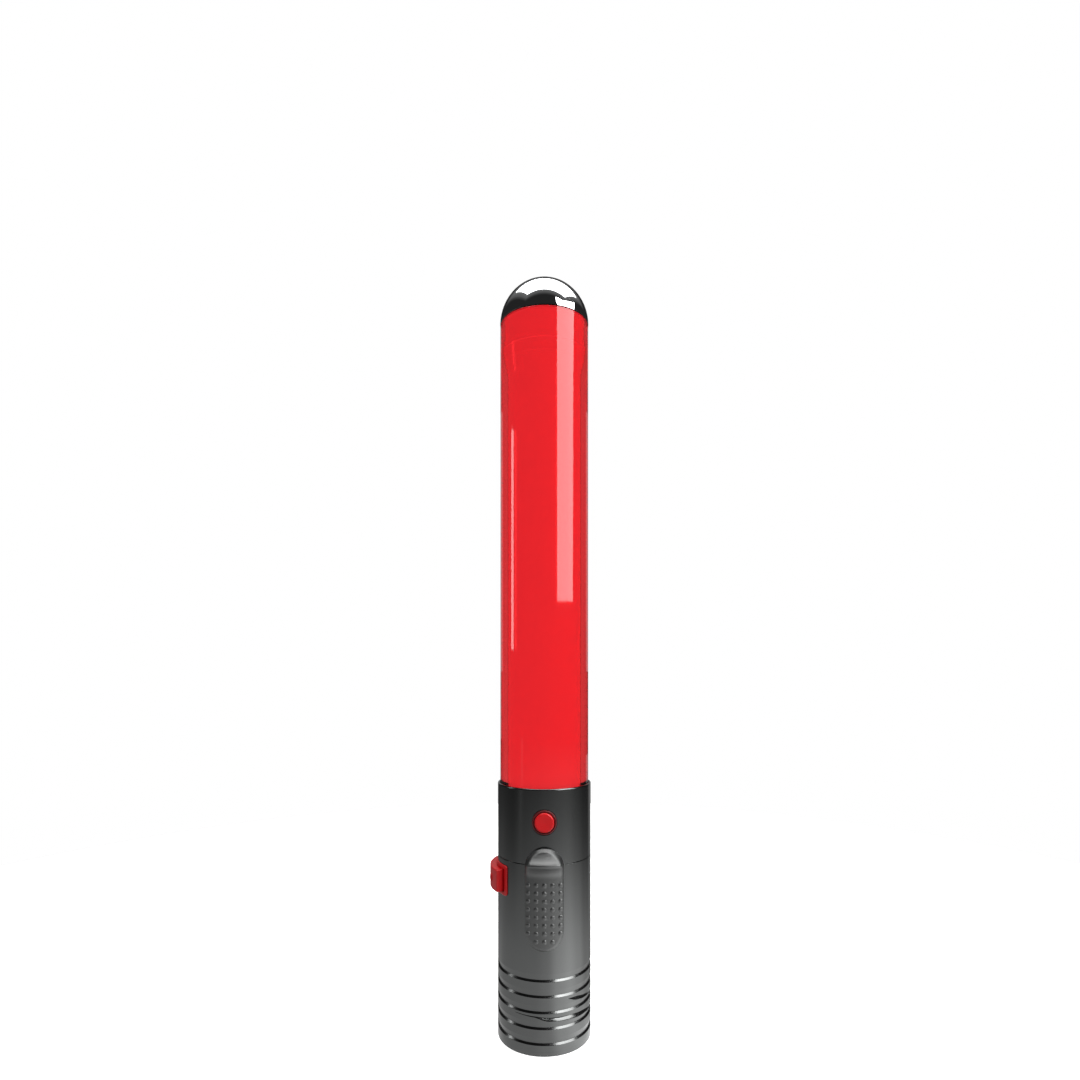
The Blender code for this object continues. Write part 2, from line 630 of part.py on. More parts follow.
def light_core():
    """The diffuser, its two end pieces, and the square bar that carries four strips of lamps."""
    inner = CORE_RADIUS - CORE_WALL
    turned(
        "diffuser",
        [(inner, CORE_BASE), (CORE_RADIUS, CORE_BASE), *CORE_FLARE, (inner, CORE_TOP)],
        MILKY_RED,
        INNER_ROUND,
    )
    seat = LEDGE_TOP + GAP
    base_outline = [
        (2.6 * MM, seat),
        (CORE_RADIUS, seat),
        (CORE_RADIUS, CORE_BASE - GAP),
        (inner - GAP, CORE_BASE - GAP),
        (inner - GAP, 109.0 * MM),
        (2.6 * MM, 109.0 * MM),
    ]
    turned("core_base", base_outline, MILKY_RED, INNER_ROUND)
    cap_outline = [
        (0.0, CORE_TOP - 3.5 * MM),
        (inner - GAP, CORE_TOP - 3.5 * MM),
        (inner - GAP, CORE_TOP + GAP),
        (CORE_FLARE[-1][0], CORE_TOP + GAP),
        (CORE_CAP_RADIUS, HOLDER_BOTTOM - GAP),
        (0.0, HOLDER_BOTTOM - GAP),
    ]
    turned("core_cap", cap_outline, MILKY_RED, INNER_ROUND)

    half = BAR_HALF_WIDTH
    bottom, top = 109.0 * MM + GAP, CORE_TOP - 3.5 * MM - GAP
    bar = box("lamp_bar", (-half, -half, bottom), (half, half, top), WHITE)
    hollow = half - 1.0 * MM
    cut(bar, box("hollow", (-hollow, -hollow, bottom - MM), (hollow, hollow, top + MM), WHITE))
    lamp_strips(half, bottom, top)


def lamp_strips(half, bottom, top):
    """Four lamp strips, one on each side of the bar: a thin board with a row of square lamps."""
    margin = 6.0 * MM
    pitch = (top - bottom - 2 * margin) / (LED_COUNT - 1)
    for side in range(4):
        low = (-3.4 * MM, -half - GAP - 0.6 * MM, bottom + MM)
        strip = box(f"lamp_strip_{side + 1}", low, (3.4 * MM, -half - GAP, top - MM), WHITE)
        for k in range(LED_COUNT):
            height = bottom + margin + k * pitch
            corner = (-2.5 * MM, -half - GAP - 2.1 * MM, height - 2.5 * MM)
            join(strip, box("lamp", corner, (2.5 * MM, -half - GAP - 0.3 * MM, height + 2.5 * MM), WHITE))
        strip.rotation_euler.z = side * pi / 2


# Inside the handle.


def power_cell():
    """The rechargeable cell, its cradle, and the contacts at its two ends."""
    centre = (0.0, CELL_Y)
    can = [
        (0.0, CELL_BOTTOM),
        (CELL_RADIUS, CELL_BOTTOM),
        (CELL_RADIUS, CELL_TOP),
        (2.8 * MM, CELL_TOP),
        (2.8 * MM, CELL_TOP + MM),
        (0.0, CELL_TOP + MM),
    ]
    turned("power_cell", can, CELL_WRAP, 24, centre)

    floor, wall_top = PLUG_TOP + GAP, 74.0 * MM
    inner, outer = CELL_RADIUS + GAP, 11.0 * MM
    shift = Vector((0, CELL_Y, 0))
    section = ((inner, floor), (outer, floor), (outer, wall_top), (inner, wall_top))
    back_half = [[around(r, 90 + 180 * k / 14, h) + shift for r, h in section] for k in range(15)]
    cradle = skin("cell_cradle", back_half, BLACK)
    tray = [(0.0, floor), (outer - 0.2 * MM, floor), (outer - 0.2 * MM, 9.8 * MM), (0.0, 9.8 * MM)]
    join(cradle, turned("tray", tray, BLACK, 24, centre))
    cut(cradle, box("lead_gap", (8.0 * MM, 4.0 * MM, 10.2 * MM), (12.0 * MM, 7.6 * MM, 13.0 * MM), BLACK))

    plate = [(0.0, 10.1 * MM), (6.6 * MM, 10.1 * MM), (6.6 * MM, 10.5 * MM), (0.0, 10.5 * MM)]
    turned("negative_plate", plate, STEEL, SMALL_ROUND, centre)
    turns, steps, wire = 3.0, 12, 0.4 * MM
    first, last = 10.8 * MM + wire, CELL_BOTTOM - GAP - wire
    points = []
    for k in range(int(turns * steps) + 1):
        share = k / (turns * steps)
        radius = 5.6 * MM - 2.8 * MM * share
        angle = 2 * pi * k / steps
        points.append((radius * cos(angle), CELL_Y + radius * sin(angle), first + (last - first) * share))
    tube_along("cell_spring", points, wire, STEEL)
    contact = [(0.0, 79.5 * MM), (4.0 * MM, 79.5 * MM), (4.0 * MM, 80.3 * MM), (0.0, 80.3 * MM)]
    turned("positive_contact", contact, STEEL, SMALL_ROUND, centre)


def circuit_boards():
    """The three boards and what stands on them."""
    box("main_board", (-14.5 * MM, -6.0 * MM, 30 * MM), (14.5 * MM, -4.4 * MM, 75 * MM), BOARD)
    box("controller_chip", (-4.5 * MM, -7.6 * MM, 38 * MM), (4.5 * MM, -6.3 * MM, 47 * MM), BLACK)
    rod("capacitor", (9.5 * MM, -6.3 * MM, 40 * MM), (9.5 * MM, -12 * MM, 40 * MM), 3.0 * MM, BLACK, 16)
    box("mode_switch", (-5 * MM, -9.5 * MM, 56 * MM), (5 * MM, -6.3 * MM, 68 * MM), STEEL)
    box("mode_switch_knob", (-1 * MM, -12.8 * MM, 63.2 * MM), (1 * MM, -9.8 * MM, 64.8 * MM), BLACK)
    box("board_connector", (-6 * MM, -6.4 * MM, 75.3 * MM), (6 * MM, -4.0 * MM, 80.3 * MM), BLACK)

    low, high = BOARD_SEAT_HEIGHT + GAP, BOARD_SEAT_HEIGHT + 1.9 * MM
    turned("driver_board", [(0.0, low), (15.3 * MM, low), (15.3 * MM, high), (0.0, high)], BOARD, INNER_ROUND)
    box("driver_inductor", (-10 * MM, -3 * MM, high + GAP), (-4 * MM, 3 * MM, high + 4.0 * MM), BLACK)

    box("button_board", (-7 * MM, -9.6 * MM, high + GAP), (7 * MM, -8.0 * MM, 100.4 * MM), BOARD)
    half = 3.2 * MM
    low_corner = (-half, -13.3 * MM, BUTTON_HEIGHT - half)
    tact = box("tact_switch", low_corner, (half, -9.9 * MM, BUTTON_HEIGHT + half), BLACK)
    cut(tact, rod("well", (0, -14 * MM, BUTTON_HEIGHT), (0, -10.8 * MM, BUTTON_HEIGHT), 1.8 * MM, BLACK, 16))

    board_top = PORT_HEIGHT - 1.9 * MM
    box("port_board", (-8 * MM, 5 * MM, board_top - 1.2 * MM), (8 * MM, 15.4 * MM, board_top), BOARD)
    low, high = (-4.5 * MM, 9.6 * MM, PORT_HEIGHT - 1.6 * MM), (4.5 * MM, 16.9 * MM, PORT_HEIGHT + 1.6 * MM)
    socket = round_edges(box("charging_socket", low, high, STEEL), 1.2 * MM, 3)
    mouth_low = (-4.1 * MM, 11.0 * MM, PORT_HEIGHT - 1.2 * MM)
    cut(socket, box("mouth", mouth_low, (4.1 * MM, 18.0 * MM, PORT_HEIGHT + 1.2 * MM), STEEL))
    tongue_low = (-3.3 * MM, 11.3 * MM, PORT_HEIGHT - 0.35 * MM)
    box("socket_tongue", tongue_low, (3.3 * MM, 15.8 * MM, PORT_HEIGHT + 0.35 * MM), BLACK)


def bend_points(corners, radius, steps=4):
    """A route through corners with each inner corner rounded."""
    points = [Vector(corners[0])]
    for before, corner, after in zip(corners, corners[1:], corners[2:]):
        before, corner, after = Vector(before), Vector(corner), Vector(after)
        start = corner + (before - corner).normalized() * radius
        end = corner + (after - corner).normalized() * radius
        for k in range(steps + 1):
            t = k / steps
            points.append(start * (1 - t) ** 2 + corner * 2 * t * (1 - t) + end * t * t)
    return points + [Vector(corners[-1])]


def leads():
    """Insulated wires between the cell, the boards and the lamps."""
    wire = 0.6 * MM
    side = (12.3 * MM, 6.5 * MM)
    route = [(7.2 * MM, CELL_Y, 10.9 * MM + wire), (*side, 10.9 * MM + wire), (*side, 80.2 * MM)]
    tube_along("negative_lead", bend_points(route, 1.8 * MM), wire, BLACK)
    start, end = BOARD_SEAT_HEIGHT + 2.2 * MM, 118.0 * MM
    for name, x, finish in (("lamp_lead_positive", 1.0 * MM, RED), ("lamp_lead_negative", -1.0 * MM, BLACK)):
        bow = [(x, 1.5 * MM * sin(pi * k / 8), start + (end - start) * k / 8) for k in range(9)]
        tube_along(name, bow, wire, finish)
    port_low, port_high = BOARD_SEAT_HEIGHT + 2.2 * MM, PORT_HEIGHT - 1.9 * MM - 1.2 * MM - GAP
    for name, x, finish in (("port_lead_positive", 2.0 * MM, RED), ("port_lead_negative", -2.0 * MM, BLACK)):
        rod(name, (x, 8 * MM, port_low), (x, 8 * MM, port_high), wire, finish, 8)


def build():
    clear_scene()
    grip_shell()
    base_plug()
    base_screws()
    ring_seal("base_seal", 16.9 * MM, 0.5 * MM, 5.4 * MM)
    collar()
    ring_seal("collar_seal", 17.0 * MM, 0.6 * MM, 82.8 * MM)
    push_button()
    button_spring()
    thumb_slide()
    slide_carriage()
    rocker_switch()
    port_cover()
    dome_cap()
    light_tube()
    light_core()
    power_cell()
    circuit_boards()
    leads()


build()
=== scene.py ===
"""Looks of the traffic baton light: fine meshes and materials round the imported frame.

Metres, +Z up, in the frame's own coordinates: the base stands on z = 0, the axis is +Z, the front with
the push button faces -Y, the rocker switch is on -X and the port cover on +Y. An azimuth is in degrees
from the front towards +X.
"""

import json
from math import cos, pi, radians, sin, sqrt

import bmesh
import bpy
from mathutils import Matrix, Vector


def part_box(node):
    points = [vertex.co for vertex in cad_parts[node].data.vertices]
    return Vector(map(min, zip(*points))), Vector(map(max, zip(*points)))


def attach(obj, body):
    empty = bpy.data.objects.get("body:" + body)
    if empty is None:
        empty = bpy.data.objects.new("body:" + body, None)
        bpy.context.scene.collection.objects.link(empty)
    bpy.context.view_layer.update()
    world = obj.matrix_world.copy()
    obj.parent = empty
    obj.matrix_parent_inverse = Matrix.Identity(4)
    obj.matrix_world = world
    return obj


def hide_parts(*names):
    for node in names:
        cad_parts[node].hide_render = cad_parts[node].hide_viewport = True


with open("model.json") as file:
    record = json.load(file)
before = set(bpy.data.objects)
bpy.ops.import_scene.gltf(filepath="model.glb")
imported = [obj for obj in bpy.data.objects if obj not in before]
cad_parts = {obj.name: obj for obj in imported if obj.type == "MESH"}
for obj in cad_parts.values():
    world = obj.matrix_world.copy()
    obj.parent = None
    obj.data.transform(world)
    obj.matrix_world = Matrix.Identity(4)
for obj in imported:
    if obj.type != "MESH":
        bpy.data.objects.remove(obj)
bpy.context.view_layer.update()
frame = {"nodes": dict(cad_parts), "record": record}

MM = 0.001
UP = Vector((0.0, 0.0, 1.0))


def high(node, axis=2):
    """The highest coordinate of a CAD node along one axis."""
    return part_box(node)[1][axis]


def low(node, axis=2):
    """The lowest coordinate of a CAD node along one axis."""
    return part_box(node)[0][axis]


# Main sizes, from the frame.
HANDLE_RADIUS = high("collar", 0)
RIM_HEIGHT = high("collar")
COLLAR_BOTTOM = low("collar")
TUBE_RADIUS = high("light_tube", 0)
TUBE_BOTTOM, TUBE_TOP = low("light_tube"), high("light_tube")
DOME_RADIUS = high("dome_cap", 0)
DOME_BASE = low("dome_cap")

# Sizes that the frame's boxes don't give.
GAP = 0.3 * MM
GRIP_BORE = 17.6 * MM
GRIP_SPIGOT_RADIUS = 17.3 * MM
SEAM_LOW = COLLAR_BOTTOM - 0.25 * MM
NOTCH_SHELVES = [4.7 * MM + 6.53 * MM * k for k in range(5)]
NOTCH_DEPTH = 0.6 * MM
NOTCH_SLOPE = 0.8 * MM
NOTCH_HEIGHT = 3.3 * MM
LAND_HALF_ANGLE = 5.5
ROCKER_AZIMUTH = -90.0
ROCKER_HALF_ANGLE = 32.5
COVER_HALF_ANGLE = 37.0
COVER_HINGE_RADIUS = 20.2 * MM
COVER_PIN_RADIUS = 0.7 * MM
# Each scoop by stations: azimuth, height of its upper edge and of its lower edge in millimetres.
LOWER_SCOOP = (
    (-36.0, 16.9, 16.7),
    (-24.0, 16.8, 16.5),
    (-12.0, 16.7, 16.2),
    (5.0, 16.2, 14.5),
    (33.0, 16.1, 13.7),
    (52.0, 15.6, 13.1),
    (71.0, 14.6, 12.4),
    (100.0, 13.6, 12.0),
    (125.0, 12.8, 12.5),
)
UPPER_SCOOP = (
    (28.0, 23.1, 22.9),
    (41.0, 22.9, 21.3),
    (56.0, 21.9, 20.1),
    (77.5, 20.3, 18.9),
    (105.0, 18.9, 17.9),
    (130.0, 17.9, 17.7),
)
SCOOP_DEPTH = 1.3 * MM
FINE = 240


# Meshes.


def soften(corners, steps=4):
    """A closed outline with rounded corners. Each corner is (radius, height, size of its rounding)."""
    points = []
    for k, (r, h, size) in enumerate(corners):
        here = Vector((r, h))
        if not size:
            points.append(here)
            continue
        before = Vector(corners[k - 1][:2])
        after = Vector(corners[(k + 1) % len(corners)][:2])
        first = here + (before - here).normalized() * size
        last = here + (after - here).normalized() * size
        for j in range(steps + 1):
            t = j / steps
            points.append(first * (1 - t) ** 2 + here * 2 * t * (1 - t) + last * t * t)
    return [(p.x, p.y) for p in steady(points)]


def steady(points):
    """Adds a point near both ends of each long side, so that a rounding there doesn't tilt its shading."""
    kept = []
    for k, here in enumerate(points):
        there = points[(k + 1) % len(points)]
        side = there - here
        kept.append(here)
        if side.length > 0.5 * MM:
            step = side.normalized() * 0.05 * MM
            kept += [here + step, there - step]
    return kept


def around(radius, azimuth, height):
    """The point at this radius from the baton's axis, azimuth in degrees and height."""
    angle = radians(azimuth)
    return Vector((radius * sin(angle), -radius * cos(angle), height))


def skin(name, rings, loop=False, sharp=40):
    """One closed body through rings of points. Each ring is closed, and an open run of rings is capped."""
    bm = bmesh.new()
    rows = [[bm.verts.new(point) for point in ring] for ring in rings]
    count = len(rows[0])
    for here, there in zip(rows, rows[1:] + rows[:1] if loop else rows[1:]):
        for k in range(count):
            after = (k + 1) % count
            bm.faces.new((here[k], here[after], there[after], there[k]))
    if not loop:
        bm.faces.new(rows[0])
        bm.faces.new(rows[-1])
    bmesh.ops.remove_doubles(bm, verts=bm.verts, dist=1e-7)
    bmesh.ops.recalc_face_normals(bm, faces=bm.faces)
    mesh = bpy.data.meshes.new(name)
    bm.to_mesh(mesh)
    bm.free()
    return smooth(object_of(name, mesh), sharp)


def object_of(name, data):
    """A new object in the scene for a mesh, a light or a camera."""
    obj = bpy.data.objects.new(name, data)
    bpy.context.scene.collection.objects.link(obj)
    return obj


def smooth(obj, sharp=40):
    obj.data.shade_smooth()
    obj.data.set_sharp_from_angle(angle=radians(sharp))
    return obj


def turned(name, outline, segments=FINE, centre=(0.0, 0.0)):
    """A closed outline of (radius, height) points turned round the vertical line through centre."""
    offset = Vector((*centre, 0.0))
    azimuths = [360.0 * k / segments for k in range(segments)]
    return skin(name, [[around(r, a, h) + offset for r, h in outline] for a in azimuths], loop=True)


def lying(name, outline, height, segments=96):
    """A closed outline of (radius, distance from the axis) points turned round a line along -Y."""
    rings = []
    for k in range(segments):
        angle = 2 * pi * k / segments
        rings.append([Vector((r * cos(angle), -d, height + r * sin(angle))) for r, d in outline])
    return skin(name, rings, loop=True)


def ease(distance, size):
    """How far a rounded edge of this size is cut back at a distance inside it."""
    inside = min(max(distance / size, 0.0), 1.0) if size else 1.0
    return size * (1 - sqrt(1 - (1 - inside) ** 2))


def bent_plate(name, radii, heights, azimuths, corner, edge, steps=48):
    """A plate bent round the axis, with rounded corners and a rounded outer edge."""
    inner, outer = radii
    middle = (outer + inner) / 2
    start, end = azimuths
    length = radians(end - start) * middle
    turn = max(corner, edge)
    near = [turn * (1 - cos(pi / 2 * k / 10)) for k in range(11)]
    along = near + [turn + 0.05 * MM, length - turn - 0.05 * MM]
    along += [turn + (length - 2 * turn) * k / steps for k in range(1, steps)]
    along = sorted(along + [length - d for d in near])
    rings = []
    for distance in along:
        azimuth = start + (end - start) * distance / length
        inside = min(distance, length - distance)
        cut_back = ease(inside, corner)
        sunk = ease(inside, edge)
        bottom, top = heights[0] + cut_back, heights[1] - cut_back
        ring = [(inner, bottom), (inner, top)]
        for k in range(7):
            angle = pi / 2 * k / 6
            ring.append((outer - edge + (edge - sunk) * sin(angle), top - edge + edge * cos(angle)))
        ring.append((outer - sunk, top - edge - 0.05 * MM))
        ring.append((outer - sunk, bottom + edge + 0.05 * MM))
        for k in range(7):
            angle = pi / 2 * (1 - k / 6)
            ring.append((outer - edge + (edge - sunk) * sin(angle), bottom + edge - edge * cos(angle)))
        rings.append([around(r, azimuth, h) for r, h in ring])
    return skin(name, rings)


def arc_block(name, radii, heights, start, end, steps=40):
    """A plain block bent round the axis, used as a cutter."""
    (inner, outer), (bottom, top) = radii, heights
    outline = [(inner, bottom), (outer, bottom), (outer, top), (inner, top)]
    azimuths = [start + (end - start) * k / steps for k in range(steps + 1)]
    return skin(name, [[around(r, a, h) for r, h in outline] for a in azimuths])


def box(name, first, last):
    """A block between two opposite corners."""
    (x0, y0, z0), (x1, y1, z1) = first, last
    corners = ((x0, y0), (x1, y0), (x1, y1), (x0, y1))
    return skin(name, [[Vector((x, y, z)) for x, y in corners] for z in (z0, z1)])


def rod(name, start, end, radius, segments=48):
    """A straight round bar between two points."""
    start, end = Vector(start), Vector(end)
    turn = (end - start).to_track_quat("Z", "Y")
    angles = [2 * pi * k / segments for k in range(segments)]
    circle = [turn @ Vector((radius * cos(a), radius * sin(a), 0)) for a in angles]
    return skin(name, [[centre + p for p in circle] for centre in (start, end)])


def combine(obj, tool, operation):
    """Cuts tool from obj, or joins it on, and removes tool."""
    modifier = obj.modifiers.new("combine", "BOOLEAN")
    modifier.operation = operation
    modifier.solver = "EXACT"
    modifier.object = tool
    graph = bpy.context.evaluated_depsgraph_get()
    mesh = bpy.data.meshes.new_from_object(obj.evaluated_get(graph))
    obj.modifiers.clear()
    obj.data = mesh
    mesh.name = obj.name
    bpy.data.objects.remove(tool)
    return obj


def cut(obj, tool):
    return combine(obj, tool, "DIFFERENCE")


def join(obj, tool):
    return combine(obj, tool, "UNION")


# Materials.


def link(tree, source, target):
    tree.links.new(source, target)


def plain_material(name, colour, roughness, metallic=0.0):
    made = bpy.data.materials.new(name)
    made.use_nodes = True
    shader = made.node_tree.nodes["Principled BSDF"]
    shader.inputs["Base Color"].default_value = (*colour, 1.0)
    shader.inputs["Roughness"].default_value = roughness
    shader.inputs["Metallic"].default_value = metallic
    return made, shader


def add_grain(material, shader, grain, bump, colour, spread, roughness, rough_spread):
    """Fine grain in colour, roughness and relief. grain is how many grains there are in a metre."""
    tree = material.node_tree
    place = tree.nodes.new("ShaderNodeTexCoord")
    fine = tree.nodes.new("ShaderNodeTexNoise")
    fine.inputs["Scale"].default_value = grain
    fine.inputs["Detail"].default_value = 4.0
    broad = tree.nodes.new("ShaderNodeTexNoise")
    broad.inputs["Scale"].default_value = 60.0
    broad.inputs["Detail"].default_value = 3.0
    for noise in (fine, broad):
        link(tree, place.outputs["Object"], noise.inputs["Vector"])

    mix = tree.nodes.new("ShaderNodeMix")
    mix.data_type = "RGBA"
    mix.inputs["A"].default_value = (*[c * (1 - spread) for c in colour], 1.0)
    mix.inputs["B"].default_value = (*[min(c * (1 + spread), 1.0) for c in colour], 1.0)
    link(tree, broad.outputs["Fac"], mix.inputs["Factor"])
    link(tree, mix.outputs["Result"], shader.inputs["Base Color"])

    spread_out = tree.nodes.new("ShaderNodeMapRange")
    spread_out.inputs["From Min"].default_value = 0.3
    spread_out.inputs["From Max"].default_value = 0.7
    spread_out.inputs["To Min"].default_value = roughness - rough_spread
    spread_out.inputs["To Max"].default_value = roughness + rough_spread
    link(tree, fine.outputs["Fac"], spread_out.inputs["Value"])
    link(tree, spread_out.outputs["Result"], shader.inputs["Roughness"])

    if bump:
        relief = tree.nodes.new("ShaderNodeBump")
        relief.inputs["Strength"].default_value = 0.5
        relief.inputs["Distance"].default_value = bump
        link(tree, fine.outputs["Fac"], relief.inputs["Height"])
        link(tree, relief.outputs["Normal"], shader.inputs["Normal"])


def grained(
    name, colour, roughness, metallic=0.0, grain=2500.0, bump=0.01 * MM, spread=0.06, rough_spread=0.04
):
    material, shader = plain_material(name, colour, roughness, metallic)
    add_grain(material, shader, grain, bump, colour, spread, roughness, rough_spread)
    return material, shader


def handle_material():
    """Satin metallic grey with a very fine grain."""
    grey = (0.12, 0.123, 0.122)
    return grained("handle_grey", grey, 0.22, 1.0, 4000.0, 0.002 * MM, 0.04, 0.03)[0]


def slide_material():
    """The handle's grey, much rougher."""
    grey = (0.125, 0.127, 0.126)
    return grained("slide_grey", grey, 0.46, 1.0, 3500.0, 0.004 * MM, 0.05, 0.03)[0]


def red_material(name, colour, roughness):
    """Semi-gloss moulded plastic."""
    material, shader = grained(name, colour, roughness, 0.0, 3000.0, 0.003 * MM, 0.06, 0.04)
    shader.inputs["Specular IOR Level"].default_value = 0.45
    return material


def chrome_material():
    return grained("chrome", (0.86, 0.87, 0.88), 0.035, 1.0, 1500.0, 0.0, 0.015, 0.012)[0]


def lens_material():
    """Clear red acrylic, polished, a little uneven in colour and roughness."""
    material, shader = grained("lens_red", (0.68, 0.034, 0.038), 0.03, 0.0, 400.0, 0.0, 0.02, 0.01)
    shader.inputs["Transmission Weight"].default_value = 1.0
    shader.inputs["IOR"].default_value = 1.49
    return material


def glow_material(name, colour, light, strength):
    """Milky plastic lit from inside."""
    material, shader = grained(name, colour, 0.4, 0.0, 900.0, 0.0, 0.03, 0.03)
    shader.inputs["Emission Color"].default_value = (*light, 1.0)
    shader.inputs["Emission Strength"].default_value = strength
    return material


def make_materials():
    steel = grained("steel", (0.56, 0.56, 0.57), 0.25, 1.0, 3000.0, 0.0, 0.05, 0.06)[0]
    return {
        "handle_grey": handle_material(),
        "slide_grey": slide_material(),
        "control_red": red_material("control_red", (0.56, 0.003, 0.006), 0.35),
        # The button ring's near-black red is painted shade: the ring is a real piece, but its dark colour
        # stands in for the shaded recess round the button.
        "bezel_red": red_material("bezel_red", (0.09, 0.003, 0.004), 0.38),
        "lens_red": lens_material(),
        "diffuser_red": glow_material("diffuser_red", (0.35, 0.2, 0.22), (1.0, 0.58, 0.68), 0.95),
        "chrome": chrome_material(),
        "steel": steel,
        "black_plastic": grained("black_plastic", (0.02, 0.02, 0.021), 0.45)[0],
        "rubber": grained("rubber", (0.016, 0.016, 0.016), 0.75, 0.0, 2000.0, 0.02 * MM)[0],
        "board_green": grained("board_green", (0.012, 0.11, 0.045), 0.35)[0],
        "white_plastic": grained("white_plastic", (0.78, 0.78, 0.76), 0.45)[0],
        "cell_wrap": grained("cell_wrap", (0.03, 0.14, 0.42), 0.3)[0],
    }


def place(obj, slot, body, *nodes):
    """Gives a finished piece its material, its body and the CAD nodes that it stands for."""
    obj.data.materials.clear()
    obj.data.materials.append(MATERIALS[slot])
    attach(obj, body)
    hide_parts(*nodes)


# Handle.


def notched_side(notched):
    """The grip's outer face from the foot up, with its notches or plain, as corners to soften."""
    corners = []
    depth = NOTCH_DEPTH if notched else 0.0
    inner = HANDLE_RADIUS - depth
    for shelf in NOTCH_SHELVES:
        corners += [
            (HANDLE_RADIUS, shelf, 0.06 * MM),
            (inner, shelf + NOTCH_SLOPE, 0.03 * MM),
            (HANDLE_RADIUS, shelf + NOTCH_HEIGHT, 0.1 * MM),
        ]
    return corners


def between(stations, azimuth):
    """The heights of a scoop's edges at an azimuth, smooth between its stations."""
    for (first, *here), (last, *there) in zip(stations, stations[1:]):
        if azimuth <= last:
            t = (azimuth - first) / (last - first)
            t = t * t * (3 - 2 * t) * 0.5 + t * 0.5
            return [a + (b - a) * t for a, b in zip(here, there)]
    return stations[-1][1:]


def scoop(stations):
    """A cutter for one scoop: a sharp upper edge, deepest below it and hollowed out downwards."""
    outside = 1.0 * MM
    steps = 80
    start, end = stations[0][0], stations[-1][0]
    rings = []
    for k in range(steps + 1):
        azimuth = start + (end - start) * k / steps
        top, bottom = [edge * MM for edge in between(stations, azimuth)]
        tall = top - bottom
        depth = min(SCOOP_DEPTH, 0.75 * tall)
        ring = [(HANDLE_RADIUS + outside, top + 0.1 * MM)]
        for j in range(7):
            t = j / 6
            ring.append((HANDLE_RADIUS - depth * (1 - t) ** 1.5, top - tall * t))
        ring.append((HANDLE_RADIUS + outside, bottom - 0.1 * MM))
        rings.append([around(r, azimuth, h) for r, h in ring])
    return skin("scoop", rings)


def make_grip():
    """The lower handle shell: notched tail, plain land, scoops, spigot, slot and rocker window."""
    foot = [(19.0 * MM, 0.0, 0.1 * MM), (HANDLE_RADIUS, 0.0, 0.7 * MM)]
    rest = [
        (HANDLE_RADIUS, SEAM_LOW, 0.12 * MM),
        (GRIP_SPIGOT_RADIUS, SEAM_LOW, 0.0),
        (GRIP_SPIGOT_RADIUS, high("grip_shell"), 0.3 * MM),
        (15.6 * MM, high("grip_shell"), 0.3 * MM),
        (15.6 * MM, 77.4 * MM, 0.0),
        (GRIP_BORE, 76.0 * MM, 0.0),
        (GRIP_BORE, 3.3 * MM, 0.0),
        (19.0 * MM, 3.3 * MM, 0.0),
    ]
    notched = soften(foot + notched_side(True) + rest)
    plain = soften(foot + notched_side(False) + rest)
    start, end = ROCKER_AZIMUTH + LAND_HALF_ANGLE, ROCKER_AZIMUTH - LAND_HALF_ANGLE + 360.0
    azimuths = [start + (end - start) * k / (FINE - 1) for k in range(FINE)]
    land = [end + 2 * LAND_HALF_ANGLE * k / 8 for k in range(9)]
    rings = [[around(r, a, h) for r, h in notched] for a in azimuths]
    rings += [[around(r, a, h) for r, h in plain] for a in land]
    grip = skin("grip", rings, loop=True, sharp=32)
    for stations in (LOWER_SCOOP, UPPER_SCOOP):
        cut(grip, scoop(stations))
    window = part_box("rocker_bezel")
    heights = (window[0][2] + 0.15 * MM, window[1][2] - 0.55 * MM)
    reach = ROCKER_HALF_ANGLE + 4.6
    ends = (ROCKER_AZIMUTH - reach, ROCKER_AZIMUTH + reach)
    cut(grip, arc_block("window", (14 * MM, 22 * MM), heights, *ends))
    cut(grip, box("slot", (-2.5 * MM, -22 * MM, 54.4 * MM), (2.5 * MM, -14 * MM, 68.3 * MM)))
    place(smooth(grip, 32), "handle_grey", "handle", "grip_shell")


def make_base():
    """The plug that closes the grip, and its three screws."""
    flange, floor = high("base_plug", 0), 3.0 * MM
    spigot, top = GRIP_SPIGOT_RADIUS, high("base_plug")
    corners = [
        (0.0, 0.0, 0.0),
        (flange, 0.0, 0.3 * MM),
        (flange, floor, 0.0),
        (spigot, floor, 0.0),
        (spigot, 4.6 * MM, 0.0),
        (16.2 * MM, 4.6 * MM, 0.0),
        (16.2 * MM, 6.2 * MM, 0.0),
        (spigot, 6.2 * MM, 0.0),
        (spigot, top, 0.2 * MM),
        (15.2 * MM, top, 0.0),
        (15.2 * MM, floor, 0.3 * MM),
        (0.0, floor, 0.0),
    ]
    plug = turned("plug", soften(corners), 120)
    for k in (1, 2, 3):
        first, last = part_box(f"base_screw_{k}")
        x, y = (first[0] + last[0]) / 2, (first[1] + last[1]) / 2
        cut(plug, rod("hole", (x, y, -MM), (x, y, 9 * MM), 1.5 * MM, 32))
        cut(plug, rod("counterbore", (x, y, -MM), (x, y, 1.9 * MM), 2.6 * MM))
        screw = make_screw(k, x, y)
        place(screw, "steel", "handle", f"base_screw_{k}")
    place(smooth(plug), "handle_grey", "handle", "base_plug")


